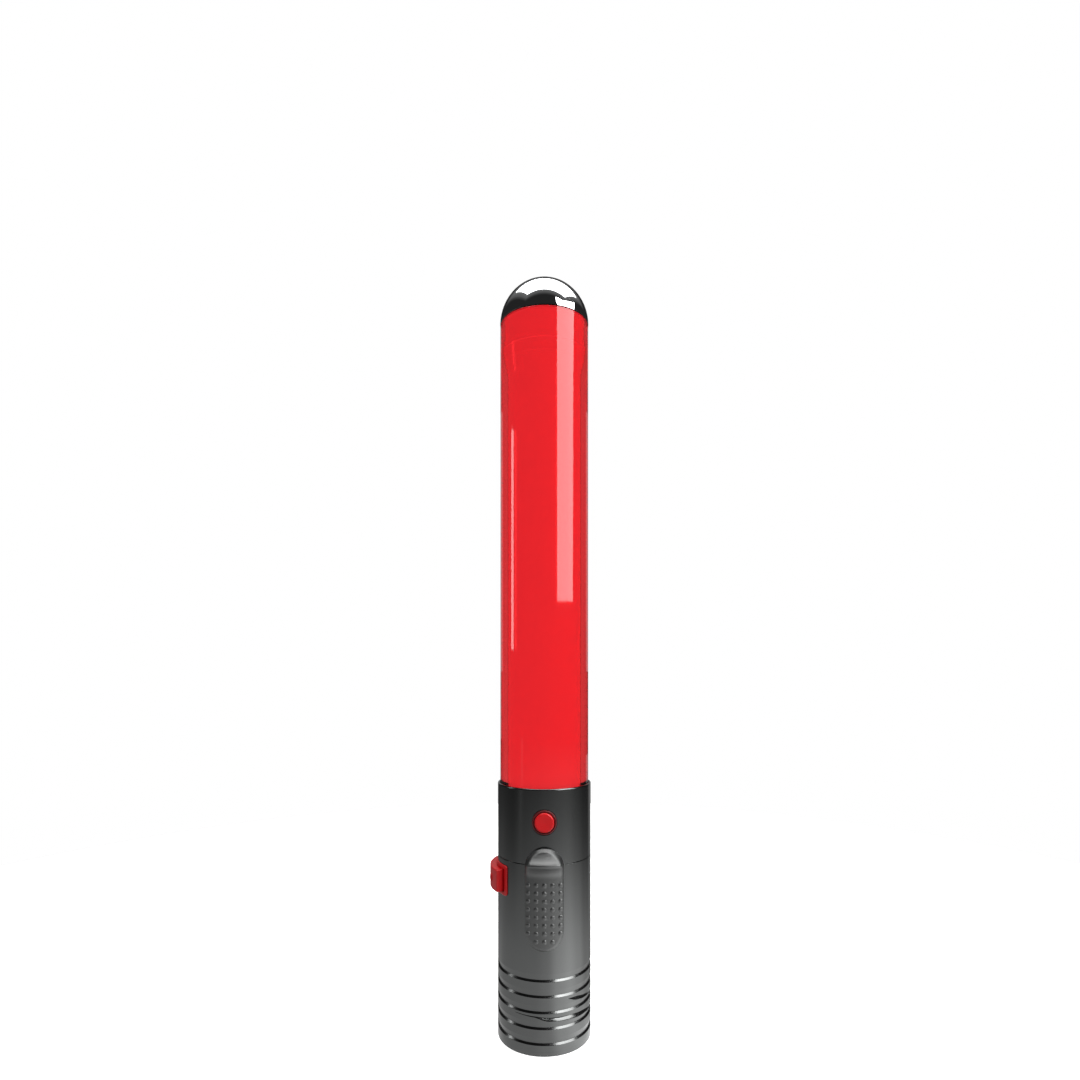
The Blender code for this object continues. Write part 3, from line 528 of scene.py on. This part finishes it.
def make_screw(number, x, y):
    """A pan-head screw with a cross drive and a threaded shank."""
    tip, head_low, head_high = 15.0 * MM, 0.3 * MM, 1.6 * MM
    corners = [(0.0, head_low, 0.0), (2.2 * MM, head_low, 0.5 * MM), (2.2 * MM, head_high, 0.0)]
    outline = soften(corners) + [(1.0 * MM, head_high)]
    pitch = 0.6 * MM
    turns = int((tip - head_high - 1.2 * MM) / pitch)
    for k in range(turns):
        height = head_high + 0.4 * MM + k * pitch
        outline += [(0.85 * MM, height), (1.22 * MM, height + pitch / 2)]
    outline += [(0.85 * MM, tip - 0.6 * MM), (0.0, tip)]
    screw = turned(f"screw_{number}", outline, 40, (x, y))
    for across in ((1.35 * MM, 0.26 * MM), (0.26 * MM, 1.35 * MM)):
        first = (x - across[0], y - across[1], 0.0)
        cut(screw, box("drive", first, (x + across[0], y + across[1], 0.95 * MM)))
    return smooth(screw)


def cover_hinge():
    """The port cover's hinge line at height 0, at the cover's end on the right."""
    return around(COVER_HINGE_RADIUS, 180.0 - COVER_HALF_ANGLE, 0)


def make_collar():
    """The upper handle shell, with its openings for the button and the port cover."""
    ledge = TUBE_BOTTOM - 1.4 * MM
    corners = [
        (17.8 * MM, COLLAR_BOTTOM, 0.0),
        (HANDLE_RADIUS, COLLAR_BOTTOM, 0.12 * MM),
        (HANDLE_RADIUS, RIM_HEIGHT, 0.55 * MM),
        (TUBE_RADIUS + GAP, RIM_HEIGHT, 0.12 * MM),
        (TUBE_RADIUS + GAP, ledge, 0.0),
        (14.0 * MM, ledge, 0.0),
        (14.0 * MM, ledge - 1.5 * MM, 0.0),
        (16.3 * MM, ledge - 1.5 * MM, 0.0),
        (17.8 * MM, ledge - 2.8 * MM, 0.0),
    ]
    collar = turned("collar_shell", soften(corners))
    height = (high("push_button") + low("push_button")) / 2
    for start, end, radius in ((-22, -16, 5.1), (-22, -19.3, 5.4), (-17.9, -14, 6.0)):
        cut(collar, rod("hole", (0, start * MM, height), (0, end * MM, height), radius * MM, 96))
    bottom, top = low("port_cover") - GAP, high("port_cover") + GAP
    reach = COVER_HALF_ANGLE + 0.9
    cut(collar, arc_block("recess", (19.2 * MM, 22 * MM), (bottom, top), 180 - reach, 180 + reach))
    hinge = cover_hinge()
    cut(collar, rod("channel", hinge + UP * bottom, hinge + UP * top, 1.45 * MM))
    more = UP * 1.3 * MM
    first, last = hinge + UP * bottom - more, hinge + UP * top + more
    cut(collar, rod("pin_hole", first, last, COVER_PIN_RADIUS, 24))
    port = bent_box("port", 4.9 * MM, 2.0 * MM, 91.5 * MM, 15 * MM, 22 * MM)
    cut(collar, port)
    place(smooth(collar, 35), "handle_grey", "handle", "collar")


def bent_box(name, half_width, half_height, height, start, end, corner=1.6 * MM):
    """A bar along +Y whose section is a rounded rectangle centred at a height."""
    section = []
    for cx, cz, first in ((1, 1, 0), (-1, 1, 90), (-1, -1, 180), (1, -1, 270)):
        for k in range(9):
            angle = radians(first + 90 * k / 8)
            x = cx * (half_width - corner) + corner * cos(angle)
            z = cz * (half_height - corner) + corner * sin(angle)
            section.append((x, z))
    return skin(name, [[Vector((x, y, height + z)) for x, z in section] for y in (start, end)])


# Controls.


def make_button():
    """The round push button with its flange and stem."""
    height = (high("push_button") + low("push_button")) / 2
    face = -low("push_button", 1)
    corners = [
        (0.0, 12.6 * MM, 0.0),
        (1.4 * MM, 12.6 * MM, 0.2 * MM),
        (1.4 * MM, 16.6 * MM, 0.0),
        (5.7 * MM, 16.6 * MM, 0.1 * MM),
        (5.7 * MM, 17.6 * MM, 0.1 * MM),
        (4.1 * MM, 17.6 * MM, 0.0),
        (4.1 * MM, face, 0.7 * MM),
        (2.0 * MM, face, 1.2 * MM),
        (0.0, face - 0.1 * MM, 0.0),
    ]
    place(lying("button", soften(corners, 6), height), "control_red", "button", "push_button")


def make_button_ring():
    """The ring round the button. Its near-black red is painted shade for the shaded recess round the
    button.
    """
    height = (high("push_button") + low("push_button")) / 2
    face = -low("button_bezel", 1)
    corners = [
        (4.35 * MM, 17.9 * MM, 0.0),
        (4.9 * MM, 17.9 * MM, 0.0),
        (4.9 * MM, 19.6 * MM, 0.0),
        (5.1 * MM, 19.6 * MM, 0.0),
        (5.1 * MM, face, 0.35 * MM),
        (4.35 * MM, face, 0.25 * MM),
    ]
    place(lying("button_ring", soften(corners), height), "bezel_red", "handle", "button_bezel")


PAD_LOW, PAD_HIGH = low("thumb_slide"), high("thumb_slide")
PAD_HALF_WIDTH = 8.05 * MM
PAD_FACE = 2.6 * MM
# The slide's face above the handle along its middle, from its top edge down past the lip.
LIP = (
    (86.2, 2.6),
    (85.75, 2.72),
    (85.2, 2.9),
    (84.4, 3.25),
    (83.6, 3.8),
    (82.8, 4.45),
    (82.0, 5.25),
    (81.3, 6.1),
    (80.8, 6.6),
    (80.3, 6.8),
    (79.7, 6.5),
    (79.0, 5.75),
    (78.2, 4.85),
    (77.2, 3.9),
    (76.2, 3.15),
    (75.2, 2.72),
    (74.2, 2.6),
)


def along_lip(height):
    """The face's height above the handle at a height on the baton, smooth between the lip's points."""
    z = height / MM
    if z <= LIP[-1][0]:
        return PAD_FACE
    if z >= LIP[0][0]:
        return LIP[0][1] * MM
    for k, ((z1, h1), (z0, h0)) in enumerate(zip(LIP, LIP[1:])):
        if z0 <= z <= z1:
            before = LIP[k - 1] if k else LIP[k]
            after = LIP[k + 2] if k + 2 < len(LIP) else LIP[k + 1]
            slope1 = (before[1] - h0) / (before[0] - z0)
            slope0 = (h1 - after[1]) / (z1 - after[0])
            width = z1 - z0
            t = (z - z0) / width
            value = (2 * t**3 - 3 * t * t + 1) * h0 + (t**3 - 2 * t * t + t) * width * slope0
            value += (3 * t * t - 2 * t**3) * h1 + (t**3 - t * t) * width * slope1
            return value * MM
    return PAD_FACE


def edge_distance(x, height):
    """How far a point on the slide is inside its outline, which has round ends."""
    nearest = min(max(height, PAD_LOW + PAD_HALF_WIDTH), PAD_HIGH - PAD_HALF_WIDTH)
    return PAD_HALF_WIDTH - sqrt(x * x + (height - nearest) ** 2)


def pad_rise(x, height):
    """The slide's face above the handle at x and a height: a soft bevel, a flat face and the lip."""
    inside = edge_distance(x, height)
    bevel = max(1 - inside / (1.2 * MM), 0.0)
    rise = PAD_FACE - 1.0 * MM * bevel**1.3
    lip = along_lip(height) - PAD_FACE
    if lip > 0:
        rim = min(max((inside - 0.1 * MM) / (0.9 * MM), 0.0), 1.0)
        rise += lip * sqrt(1 - (1 - rim) ** 2)
    return rise


def over_handle(x, rise, height):
    """A point in front of the handle's surface at a distance x from the middle."""
    return Vector((x, -sqrt(HANDLE_RADIUS**2 - x * x) - rise, height))


def make_thumb_slide():
    """The slide's pad, its grip bumps and the stem that goes through the slot in the shell."""
    half = PAD_HALF_WIDTH
    near = [half * (1 - cos(pi / 2 * (k + 0.25) / 24)) for k in range(25)]
    heights = [PAD_LOW + d for d in near]
    steps = 60
    low_end, high_end = PAD_LOW + half, PAD_HIGH - half
    heights += [low_end + (high_end - low_end) * k / steps for k in range(1, steps + 1)]
    heights += [PAD_HIGH - d for d in near[::-1][1:]]
    fine = [PAD_HIGH - half + (half - 0.1 * MM) * k / 70 for k in range(1, 70)]
    heights = sorted({round(h, 6) for h in heights + fine})
    across = [sin(pi / 2 * (k / 16 - 1)) for k in range(33)]
    rings = []
    for height in heights:
        nearest = min(max(height, low_end), high_end)
        reach = sqrt(max(half**2 - (height - nearest) ** 2, (0.2 * MM) ** 2))
        ring = []
        for share in across:
            x = share * reach
            ring.append(over_handle(x, pad_rise(x, height), height))
        for share in across[::-4]:
            ring.append(over_handle(share * reach, GAP, height))
        rings.append(ring)
    pad = skin("thumb_pad", rings, sharp=50)
    first, last = (-2.2 * MM, -21.5 * MM, 60 * MM), (2.2 * MM, -15.1 * MM, 68 * MM)
    join(pad, box("stem", first, last))
    for row in range(8):
        for column in (-1, 0, 1) if row == 7 else (-2, -1, 0, 1, 2):
            height = (71.4 - 3.29 * row) * MM
            azimuth = column * 3.05 * MM / HANDLE_RADIUS * 180 / pi
            join(pad, bump(azimuth, height))
    place(smooth(pad, 50), "slide_grey", "slide", "thumb_slide")


def bump(azimuth, height):
    """One low, soft grip bump on the slide's face."""
    face = HANDLE_RADIUS + PAD_FACE
    turn = around(1.0, azimuth, 0).to_track_quat("Z", "Y")
    angles = [2 * pi * k / 16 for k in range(16)]
    rings = []
    outline = ((-0.4, 1.0), (-0.02, 1.0), (0.08, 0.9), (0.18, 0.74), (0.26, 0.52), (0.3, 0.3), (0.32, 0.1))
    for out, radius in outline:
        centre = around(face + out * MM, azimuth, height)
        rings.append([centre + turn @ Vector((radius * cos(a), radius * sin(a), 0)) * MM for a in angles])
    return skin("bump", rings)


ROCKER_ENDS = (ROCKER_AZIMUTH - ROCKER_HALF_ANGLE, ROCKER_AZIMUTH + ROCKER_HALF_ANGLE)
ROCKER_HEIGHTS = (low("rocker"), high("rocker"))
ROCKER_PIVOT = around(19.6 * MM, ROCKER_AZIMUTH, 0)
ROCKER_PIN_HOLE = 1.05 * MM


def make_rocker():
    """The rocker with its raised ring and bar marks."""
    heights = ROCKER_HEIGHTS
    middle = sum(heights) / 2
    outer = 23.8 * MM
    rocker = bent_plate("rocker_key", (18.2 * MM, outer), heights, ROCKER_ENDS, 0.4 * MM, 0.45 * MM)
    join(rocker, rod("stub", (-18.6 * MM, 0, middle), (-14.6 * MM, 0, middle), 1.2 * MM))
    first, last = ROCKER_PIVOT + UP * (heights[0] - MM), ROCKER_PIVOT + UP * (heights[1] + MM)
    cut(rocker, rod("bore", first, last, ROCKER_PIN_HOLE))
    join(rocker, ring_mark(ROCKER_AZIMUTH + ROCKER_HALF_ANGLE / 2, middle, outer))
    bar = bent_plate(
        "bar",
        (outer - 0.3 * MM, outer + 0.4 * MM),
        (middle - 1.7 * MM, middle + 1.7 * MM),
        (ROCKER_AZIMUTH - 17.4, ROCKER_AZIMUTH - 15.0),
        0.2 * MM,
        0.15 * MM,
        4,
    )
    join(rocker, bar)
    place(smooth(rocker, 40), "control_red", "rocker", "rocker")


def make_rocker_frame():
    """The thin frame round the rocker, with its neck in the shell and the seats for the pin."""
    start, end = ROCKER_ENDS
    bottom, top = low("rocker_bezel"), high("rocker_bezel")
    radii = (HANDLE_RADIUS + 0.02 * MM, HANDLE_RADIUS + 0.6 * MM)
    ends = (start - 8.0, end + 8.0)
    bezel = bent_plate("rocker_frame", radii, (bottom, top), ends, 1.4 * MM, 0.35 * MM)
    neck = (ROCKER_HEIGHTS[0] - 1.1 * MM, ROCKER_HEIGHTS[1] + 1.1 * MM)
    join(bezel, arc_block("neck", (17.9 * MM, HANDLE_RADIUS + 0.4 * MM), neck, start - 4.0, end + 4.0))
    opening = (ROCKER_HEIGHTS[0] - GAP, ROCKER_HEIGHTS[1] + GAP)
    cut(bezel, arc_block("opening", (15 * MM, 23 * MM), opening, start - 3.1, end + 3.1))
    first, last = ROCKER_PIVOT + UP * (bottom + 0.6 * MM), ROCKER_PIVOT + UP * (top - MM)
    cut(bezel, rod("pin_seat", first, last, ROCKER_PIN_HOLE))
    place(smooth(bezel, 40), "control_red", "handle", "rocker_bezel")


def ring_mark(azimuth, height, radius):
    """A raised ring on the rocker's face."""
    angle_per_metre = 180 / pi / radius
    outline = [(0.95, -0.3), (0.95, 0.28), (1.1, 0.4), (1.5, 0.4), (1.65, 0.28), (1.65, -0.3)]
    rings = []
    for k in range(40):
        turn = 2 * pi * k / 40
        ring = []
        for size, rise in outline:
            side, up = size * 0.8 * MM * cos(turn), size * MM * sin(turn)
            ring.append(around(radius + rise * MM, azimuth + side * angle_per_metre, height + up))
        rings.append(ring)
    return skin("ring_mark", rings, loop=True)


def make_port_cover():
    """The bent cover at the back, with its hinge barrel and three ribs near its free edge."""
    bottom, top = low("port_cover"), high("port_cover")
    hinge = cover_hinge()
    radii, ends = (19.6 * MM, 21.3 * MM), (180.0 - COVER_HALF_ANGLE, 180.0 + COVER_HALF_ANGLE)
    cover = bent_plate("charging_cover", radii, (bottom, top), ends, 1.6 * MM, 0.6 * MM)
    inset = 0.01 * MM
    join(cover, rod("barrel", hinge + UP * (bottom + inset), hinge + UP * (top - inset), 1.0 * MM))
    cut(cover, rod("bore", hinge + UP * (bottom - MM), hinge + UP * (top + MM), COVER_PIN_RADIUS, 24))
    middle = (bottom + top) / 2
    for k in (-1, 0, 1):
        height = middle + k * 2.2 * MM
        rib_heights = (height - 0.45 * MM, height + 0.45 * MM)
        rib_radii = (21.1 * MM, 21.55 * MM)
        join(cover, bent_plate("rib", rib_radii, rib_heights, (206.0, 213.5), 0.4 * MM, 0.2 * MM, 8))
    place(smooth(cover, 40), "control_red", "port_cover", "port_cover")


def make_socket():
    """The charging socket's rounded metal shell."""
    height = (high("charging_socket") + low("charging_socket")) / 2
    start, end = low("charging_socket", 1), high("charging_socket", 1)
    shell = bent_box("socket_shell", 4.5 * MM, 1.6 * MM, height, start, end, 1.45 * MM)
    cut(shell, bent_box("mouth", 4.15 * MM, 1.25 * MM, height, start + 1.4 * MM, end + MM, 1.15 * MM))
    place(smooth(shell), "steel", "handle", "charging_socket")


# Light head.


def quarter(radius, steps):
    """A quarter circle from the dome's base to just before its tip."""
    angles = [pi / 2 * k / steps for k in range(steps)]
    return [(radius * cos(angle), DOME_BASE + radius * sin(angle)) for angle in angles]


def make_dome():
    """The polished dome, hollow, with a rounded bottom edge."""
    hollow, steps = DOME_RADIUS - 1.5 * MM, 48
    edge = [(DOME_RADIUS - 0.2 * MM, DOME_BASE), (DOME_RADIUS - 0.05 * MM, DOME_BASE + 0.08 * MM)]
    tips = [(0.0, DOME_BASE + DOME_RADIUS), (0.0, DOME_BASE + hollow)]
    outline = edge + quarter(DOME_RADIUS, steps)[1:] + tips + quarter(hollow, steps)[::-1]
    place(turned("dome", outline), "chrome", "handle", "dome_cap")


def make_tube():
    """The clear outer tube, whose bore opens towards the top."""
    bore = 16.1 * MM
    flare = [(bore, 286.0), (16.2 * MM, 288.5), (16.45 * MM, 291.0), (16.85 * MM, 294.0)]
    flare += [(17.2 * MM, 296.5), (17.42 * MM, 298.5), (17.5 * MM, 300.5)]
    corners = [
        (bore, TUBE_BOTTOM, 0.2 * MM),
        (TUBE_RADIUS, TUBE_BOTTOM, 0.2 * MM),
        (TUBE_RADIUS, TUBE_TOP, 0.25 * MM),
        (flare[-1][0], TUBE_TOP, 0.2 * MM),
    ]
    corners += [(r, h * MM, 0.0) for r, h in flare[::-1]]
    place(turned("outer_tube", soften(corners)), "lens_red", "handle", "light_tube")


def make_holder():
    """The cup in the top of the tube that holds the dome."""
    radius, bottom, top = 17.2 * MM, low("cap_holder"), high("cap_holder")
    wall = 1.6 * MM
    corners = [
        (0.0, bottom, 0.0),
        (radius, bottom, 0.35 * MM),
        (radius, DOME_BASE, 0.0),
        (radius + 0.5 * MM, DOME_BASE, 0.1 * MM),
        (radius + 0.5 * MM, top, 0.1 * MM),
        (radius - wall, top, 0.0),
        (radius - wall, bottom + wall, 0.0),
        (0.0, bottom + wall, 0.0),
    ]
    place(turned("holder_cup", soften(corners)), "diffuser_red", "handle", "cap_holder")


CORE_BORE = 14.3 * MM
CORE_TOP_RADIUS = 16.45 * MM


def make_core():
    """The milky inner tube, which widens with the outer tube's bore."""
    radius, bottom, top = 15.8 * MM, low("diffuser"), high("diffuser")
    corners = [
        (CORE_BORE, bottom, 0.1 * MM),
        (radius, bottom, 0.1 * MM),
        (radius, 286.0 * MM, 0.0),
        (15.9 * MM, 288.5 * MM, 0.0),
        (16.15 * MM, 291.0 * MM, 0.0),
        (CORE_TOP_RADIUS, top, 0.05 * MM),
        (CORE_BORE, top, 0.1 * MM),
    ]
    place(turned("milky_core", soften(corners)), "diffuser_red", "handle", "diffuser")


def make_core_end():
    """The milky piece that closes the inner tube's top."""
    bottom, seat, end = low("core_cap"), high("diffuser") + 0.05 * MM, high("core_cap") + 0.1 * MM
    corners = [
        (0.0, bottom, 0.0),
        (CORE_BORE - GAP, bottom, 0.2 * MM),
        (CORE_BORE - GAP, seat, 0.0),
        (CORE_TOP_RADIUS, seat, 0.05 * MM),
        (16.95 * MM, end, 0.1 * MM),
        (0.0, end, 0.0),
    ]
    place(turned("core_end", soften(corners)), "diffuser_red", "handle", "core_cap")


# Setting.


def emitter(name, strength):
    made = bpy.data.materials.new(name)
    made.use_nodes = True
    tree = made.node_tree
    tree.nodes.clear()
    out = tree.nodes.new("ShaderNodeOutputMaterial")
    light = tree.nodes.new("ShaderNodeEmission")
    light.inputs["Color"].default_value = (1, 1, 1, 1)
    light.inputs["Strength"].default_value = strength
    link(tree, light.outputs[0], out.inputs["Surface"])
    return made


def softbox(name, size_x, size_y, place_at, radiance):
    """A rectangular light that the camera doesn't see, lit evenly to a radiance."""
    light = bpy.data.lights.new(name, "AREA")
    light.shape = "RECTANGLE"
    light.size, light.size_y = size_x, size_y
    light.energy = radiance * pi * size_x * size_y
    obj = object_of(name, light)
    obj.location = place_at
    obj.visible_camera = False
    return obj


def panel(name, azimuth, distance, heights, width, radiance):
    """An upright softbox that faces the baton's axis."""
    bottom, top = heights
    where = around(distance, azimuth, (bottom + top) / 2)
    obj = softbox(name, width, top - bottom, where, radiance)
    obj.rotation_euler = (Vector((-where.x, -where.y, 0))).to_track_quat("-Z", "Y").to_euler()
    return obj


def from_range(tree, value, first, last):
    """A node that gives 0 to 1 as value goes from first to last."""
    node = tree.nodes.new("ShaderNodeMapRange")
    node.inputs["From Min"].default_value = first
    node.inputs["From Max"].default_value = last
    link(tree, value, node.inputs["Value"])
    return node.outputs["Result"]


def calculate(tree, operation, *values):
    """A node that works on numbers or other nodes' outputs."""
    node = tree.nodes.new("ShaderNodeMath")
    node.operation = operation
    for value, target in zip(values, node.inputs):
        if isinstance(value, float):
            target.default_value = value
        else:
            link(tree, value, target)
    return node.outputs[0]


def graded(tree, value, stops):
    """The level at value, smooth through stops of (position, level)."""
    node = ramp(tree, stops)
    link(tree, value, node.inputs["Fac"])
    return node.outputs["Color"]


# Brightness of the floor in reflections by azimuth, near the baton and far from it.
FLOOR_NEAR = (
    (-180.0, 0.1),
    (-150.0, 0.11),
    (-118.0, 0.26),
    (-80.0, 0.33),
    (-57.0, 0.35),
    (-20.0, 0.37),
    (5.0, 0.46),
    (32.0, 0.81),
    (58.0, 0.97),
    (84.0, 0.73),
    (112.0, 0.34),
    (140.0, 0.14),
    (180.0, 0.09),
)
FLOOR_FAR = (
    (-180.0, 0.1),
    (-150.0, 0.12),
    (-118.0, 0.25),
    (-80.0, 0.19),
    (-57.0, 0.33),
    (-20.0, 0.42),
    (5.0, 0.55),
    (32.0, 0.64),
    (58.0, 0.7),
    (84.0, 0.45),
    (112.0, 0.21),
    (140.0, 0.08),
    (180.0, 0.06),
)
# Distances from the baton between which the first levels turn into the second.
FLOOR_NEAR_END, FLOOR_FAR_START = 0.13, 0.36
# The fade outwards by distance, and the level that all this is a share of.
FLOOR_BY_DISTANCE = ((0.0, 1.0), (0.1, 1.0), (0.2, 0.72), (0.32, 0.4), (0.55, 0.2), (1.1, 0.05))
FLOOR_LEVEL = 2.2


def glow_floor(radius):
    """The floor as polished parts see it: bright near the baton and to the right, fading outwards."""
    floor = disc("floor_glow", radius, -0.5 * MM)
    made = emitter("floor_glow", 1.0)
    tree = made.node_tree
    light = next(node for node in tree.nodes if node.type == "EMISSION")
    where = tree.nodes.new("ShaderNodeTexCoord")
    parts = tree.nodes.new("ShaderNodeSeparateXYZ")
    link(tree, where.outputs["Object"], parts.inputs[0])
    front = calculate(tree, "MULTIPLY", parts.outputs["Y"], -1.0)
    azimuth = calculate(tree, "ARCTAN2", parts.outputs["X"], front)
    share = from_range(tree, azimuth, -pi, pi)
    near, far = [
        graded(tree, share, [(turn / 360 + 0.5, level) for turn, level in levels])
        for levels in (FLOOR_NEAR, FLOOR_FAR)
    ]
    distance = tree.nodes.new("ShaderNodeVectorMath")
    distance.operation = "LENGTH"
    link(tree, where.outputs["Object"], distance.inputs[0])
    reached = distance.outputs["Value"]
    outwards = calculate(tree, "DIVIDE", reached, radius)
    fade = graded(tree, outwards, [(reach / radius, level) for reach, level in FLOOR_BY_DISTANCE])
    levels = tree.nodes.new("ShaderNodeMix")
    link(tree, from_range(tree, reached, FLOOR_NEAR_END, FLOOR_FAR_START), levels.inputs["Factor"])
    link(tree, near, levels.inputs["A"])
    link(tree, far, levels.inputs["B"])
    both = calculate(tree, "MULTIPLY", levels.outputs["Result"], fade)
    link(tree, calculate(tree, "MULTIPLY", both, FLOOR_LEVEL), light.inputs["Strength"])
    floor.data.materials.append(made)
    return floor


def ramp(tree, stops):
    """A node that gives a grey level by position, through these stops."""
    node = tree.nodes.new("ShaderNodeValToRGB")
    node.color_ramp.interpolation = "EASE"
    elements = node.color_ramp.elements
    while len(elements) < len(stops):
        elements.new(0.5)
    for element, (position, level) in zip(elements, stops):
        element.position = position
        element.color = (level, level, level, 1.0)
    return node


# The right softbox's outline from its bottom up: end azimuths, then the heights at them 1 m from the axis.
SOFTBOX_ROWS = (
    ((33.0, 78.0), (0.28, 0.28)),
    ((32.5, 79.5), (0.75, 0.7)),
    ((31.5, 83.0), (0.93, 0.88)),
    ((34.0, 95.0), (1.375, 1.216)),
    ((36.0, 104.0), (1.53, 1.32)),
)


def softbox_face():
    """The right softbox as polished parts see it, wider and brighter towards its top."""
    points = []
    steps = 12
    for (first, last), (left, right) in SOFTBOX_ROWS:
        for k in range(steps + 1):
            t = k / steps
            points.append(around(1.0, first + (last - first) * t, left + (right - left) * t))
    faces = []
    for row in range(len(SOFTBOX_ROWS) - 1):
        for k in range(steps):
            corner = row * (steps + 1) + k
            faces.append((corner, corner + 1, corner + steps + 2, corner + steps + 1))
    sheet = sheet_of("softbox_face", points, faces, emitter("softbox_white", 6.0))
    sheet.data.materials.append(emitter("softbox_upper", 11.0))
    for face in sheet.data.polygons[2 * steps :]:
        face.material_index = 1
    return sheet


def sheet_of(name, points, faces, material):
    mesh = bpy.data.meshes.new(name)
    mesh.from_pydata([tuple(point) for point in points], [], faces)
    mesh.materials.append(material)
    return object_of(name, mesh)


def ceiling_fade(height):
    """The dim spill round the overhead softbox, fading outwards."""
    x0, x1, y0, y1 = -0.85, 1.0, -0.65, 0.9
    sides = (("X", -0.51, x0), ("X", 0.67, x1), ("Y", -0.32, y0), ("Y", 0.42, y1))
    points = [(x0, y0, height), (x1, y0, height), (x1, y1, height), (x0, y1, height)]
    made = emitter("spill", 0.0)
    tree = made.node_tree
    light = next(node for node in tree.nodes if node.type == "EMISSION")
    where = tree.nodes.new("ShaderNodeTexCoord")
    parts = tree.nodes.new("ShaderNodeSeparateXYZ")
    link(tree, where.outputs["Object"], parts.inputs[0])
    farthest = 0.0
    for axis, near, far in sides:
        share = from_range(tree, parts.outputs[axis], near, far)
        farthest = calculate(tree, "MAXIMUM", share, farthest)
    stops = ((0.0, 0.17), (0.45, 0.1), (0.75, 0.045), (1.0, 0.018))
    link(tree, graded(tree, farthest, stops), light.inputs["Strength"])
    return sheet_of("spill", points, [(0, 1, 2, 3)], made)


def card(name, distance, azimuths, heights, radiance):
    """An upright bent card near the baton that only polished parts see."""
    steps = 6
    first, last = azimuths
    turns = [first + (last - first) * k / steps for k in range(steps + 1)]
    points = [around(distance, turn, height) for height in heights for turn in turns]
    faces = [(k, k + 1, k + steps + 2, k + steps + 1) for k in range(steps)]
    return sheet_of(name, points, faces, emitter(name, radiance))


def only(obj, camera=False, diffuse=False, glossy=False, transmission=False):
    """Keeps a stage piece out of every kind of ray but these, and out of shadows."""
    obj.visible_camera = camera
    obj.visible_diffuse = diffuse
    obj.visible_glossy = glossy
    obj.visible_transmission = transmission
    obj.visible_shadow = False


def make_setting():
    """A pale floor in a white studio, the softboxes and the cards."""
    scene = bpy.context.scene
    scene.view_settings.view_transform = "Standard"

    world = bpy.data.worlds.new("studio")
    world.use_nodes = True
    world.node_tree.nodes["Background"].inputs["Color"].default_value = (1, 1, 1, 1)
    world.node_tree.nodes["Background"].inputs["Strength"].default_value = 0.35
    world.cycles_visibility.glossy = False
    scene.world = world

    floor = disc("floor", 0.5, -0.05 * MM)
    material, shader = plain_material("floor_white", (0.9, 0.9, 0.9), 0.9)
    shader.inputs["Specular IOR Level"].default_value = 0.0
    shader.inputs["Emission Color"].default_value = (1, 1, 1, 1)
    shader.inputs["Emission Strength"].default_value = 0.8
    floor.data.materials.append(material)
    floor.visible_glossy = False
    floor.visible_diffuse = False
    only(glow_floor(1.1), glossy=True)

    backdrop = shell_sphere("backdrop", 6.0)
    backdrop.data.materials.append(emitter("backdrop_white", 1.0))
    only(backdrop, camera=True, transmission=True)
    surround = shell_sphere("surround", 5.0)
    surround.data.materials.append(emitter("surround_dark", 0.018))
    only(surround, glossy=True)

    panel("right_softbox", 57.0, 1.0, (0.28, 1.63), 0.9, 6.0).visible_glossy = False
    only(softbox_face(), glossy=True)
    panel("left_strip", -90.0, 1.0, (0.19, 0.6), 0.15, 5.0)
    panel("back_left", -158.0, 1.2, (0.0, 0.9), 0.3, 0.25)
    panel("back_right", 160.0, 1.2, (0.25, 0.9), 0.3, 0.3)
    only(card("edge_card", 0.088, (128.0, 152.0), (0.0, 0.112), 0.36), glossy=True)
    only(card("streak_card", 0.3, (-60.0, -55.0), (0.0, 0.1), 0.32), glossy=True)
    only(card("back_card", 0.9, (140.0, 220.0), (0.15, 0.6), 0.4), glossy=True)
    softbox("overhead", 1.18, 0.74, (0.08, 0.05, 1.13), 4.6)
    only(ceiling_fade(1.14), glossy=True)


def make_camera():
    """The photo's camera, fitted to the big front view."""
    lens = bpy.data.cameras.new("camera")
    lens.lens = 22.77
    lens.shift_x = -0.004
    lens.shift_y = 0.1157
    lens.clip_start = 0.01
    camera = object_of("camera", lens)
    camera.location = (0.0, -0.3014, 0.1615)
    camera.rotation_euler = (pi / 2, 0, 0)
    bpy.context.scene.camera = camera


def disc(name, radius, height):
    angles = [2 * pi * k / 96 for k in range(96)]
    mesh = bpy.data.meshes.new(name)
    mesh.from_pydata([(radius * cos(a), radius * sin(a), height) for a in angles], [], [list(range(96))])
    return object_of(name, mesh)


def shell_sphere(name, radius):
    bm = bmesh.new()
    bmesh.ops.create_uvsphere(bm, u_segments=32, v_segments=16, radius=radius)
    mesh = bpy.data.meshes.new(name)
    bm.to_mesh(mesh)
    bm.free()
    return object_of(name, mesh)


def finish_frame():
    """Gives every CAD node that is kept its material."""
    for entry in frame["record"]["subparts"]:
        node = frame["nodes"][entry["node"]]
        material = MATERIALS[entry["material_slot"]]
        if not node.material_slots:
            node.data.materials.append(material)
        for place_for in node.material_slots:
            place_for.link = "OBJECT"
            place_for.material = material


MATERIALS = make_materials()
finish_frame()
make_grip()
make_base()
make_collar()
make_button()
make_button_ring()
make_thumb_slide()
make_rocker()
make_rocker_frame()
make_port_cover()
make_socket()
make_dome()
make_tube()
make_holder()
make_core()
make_core_end()
make_setting()
make_camera()
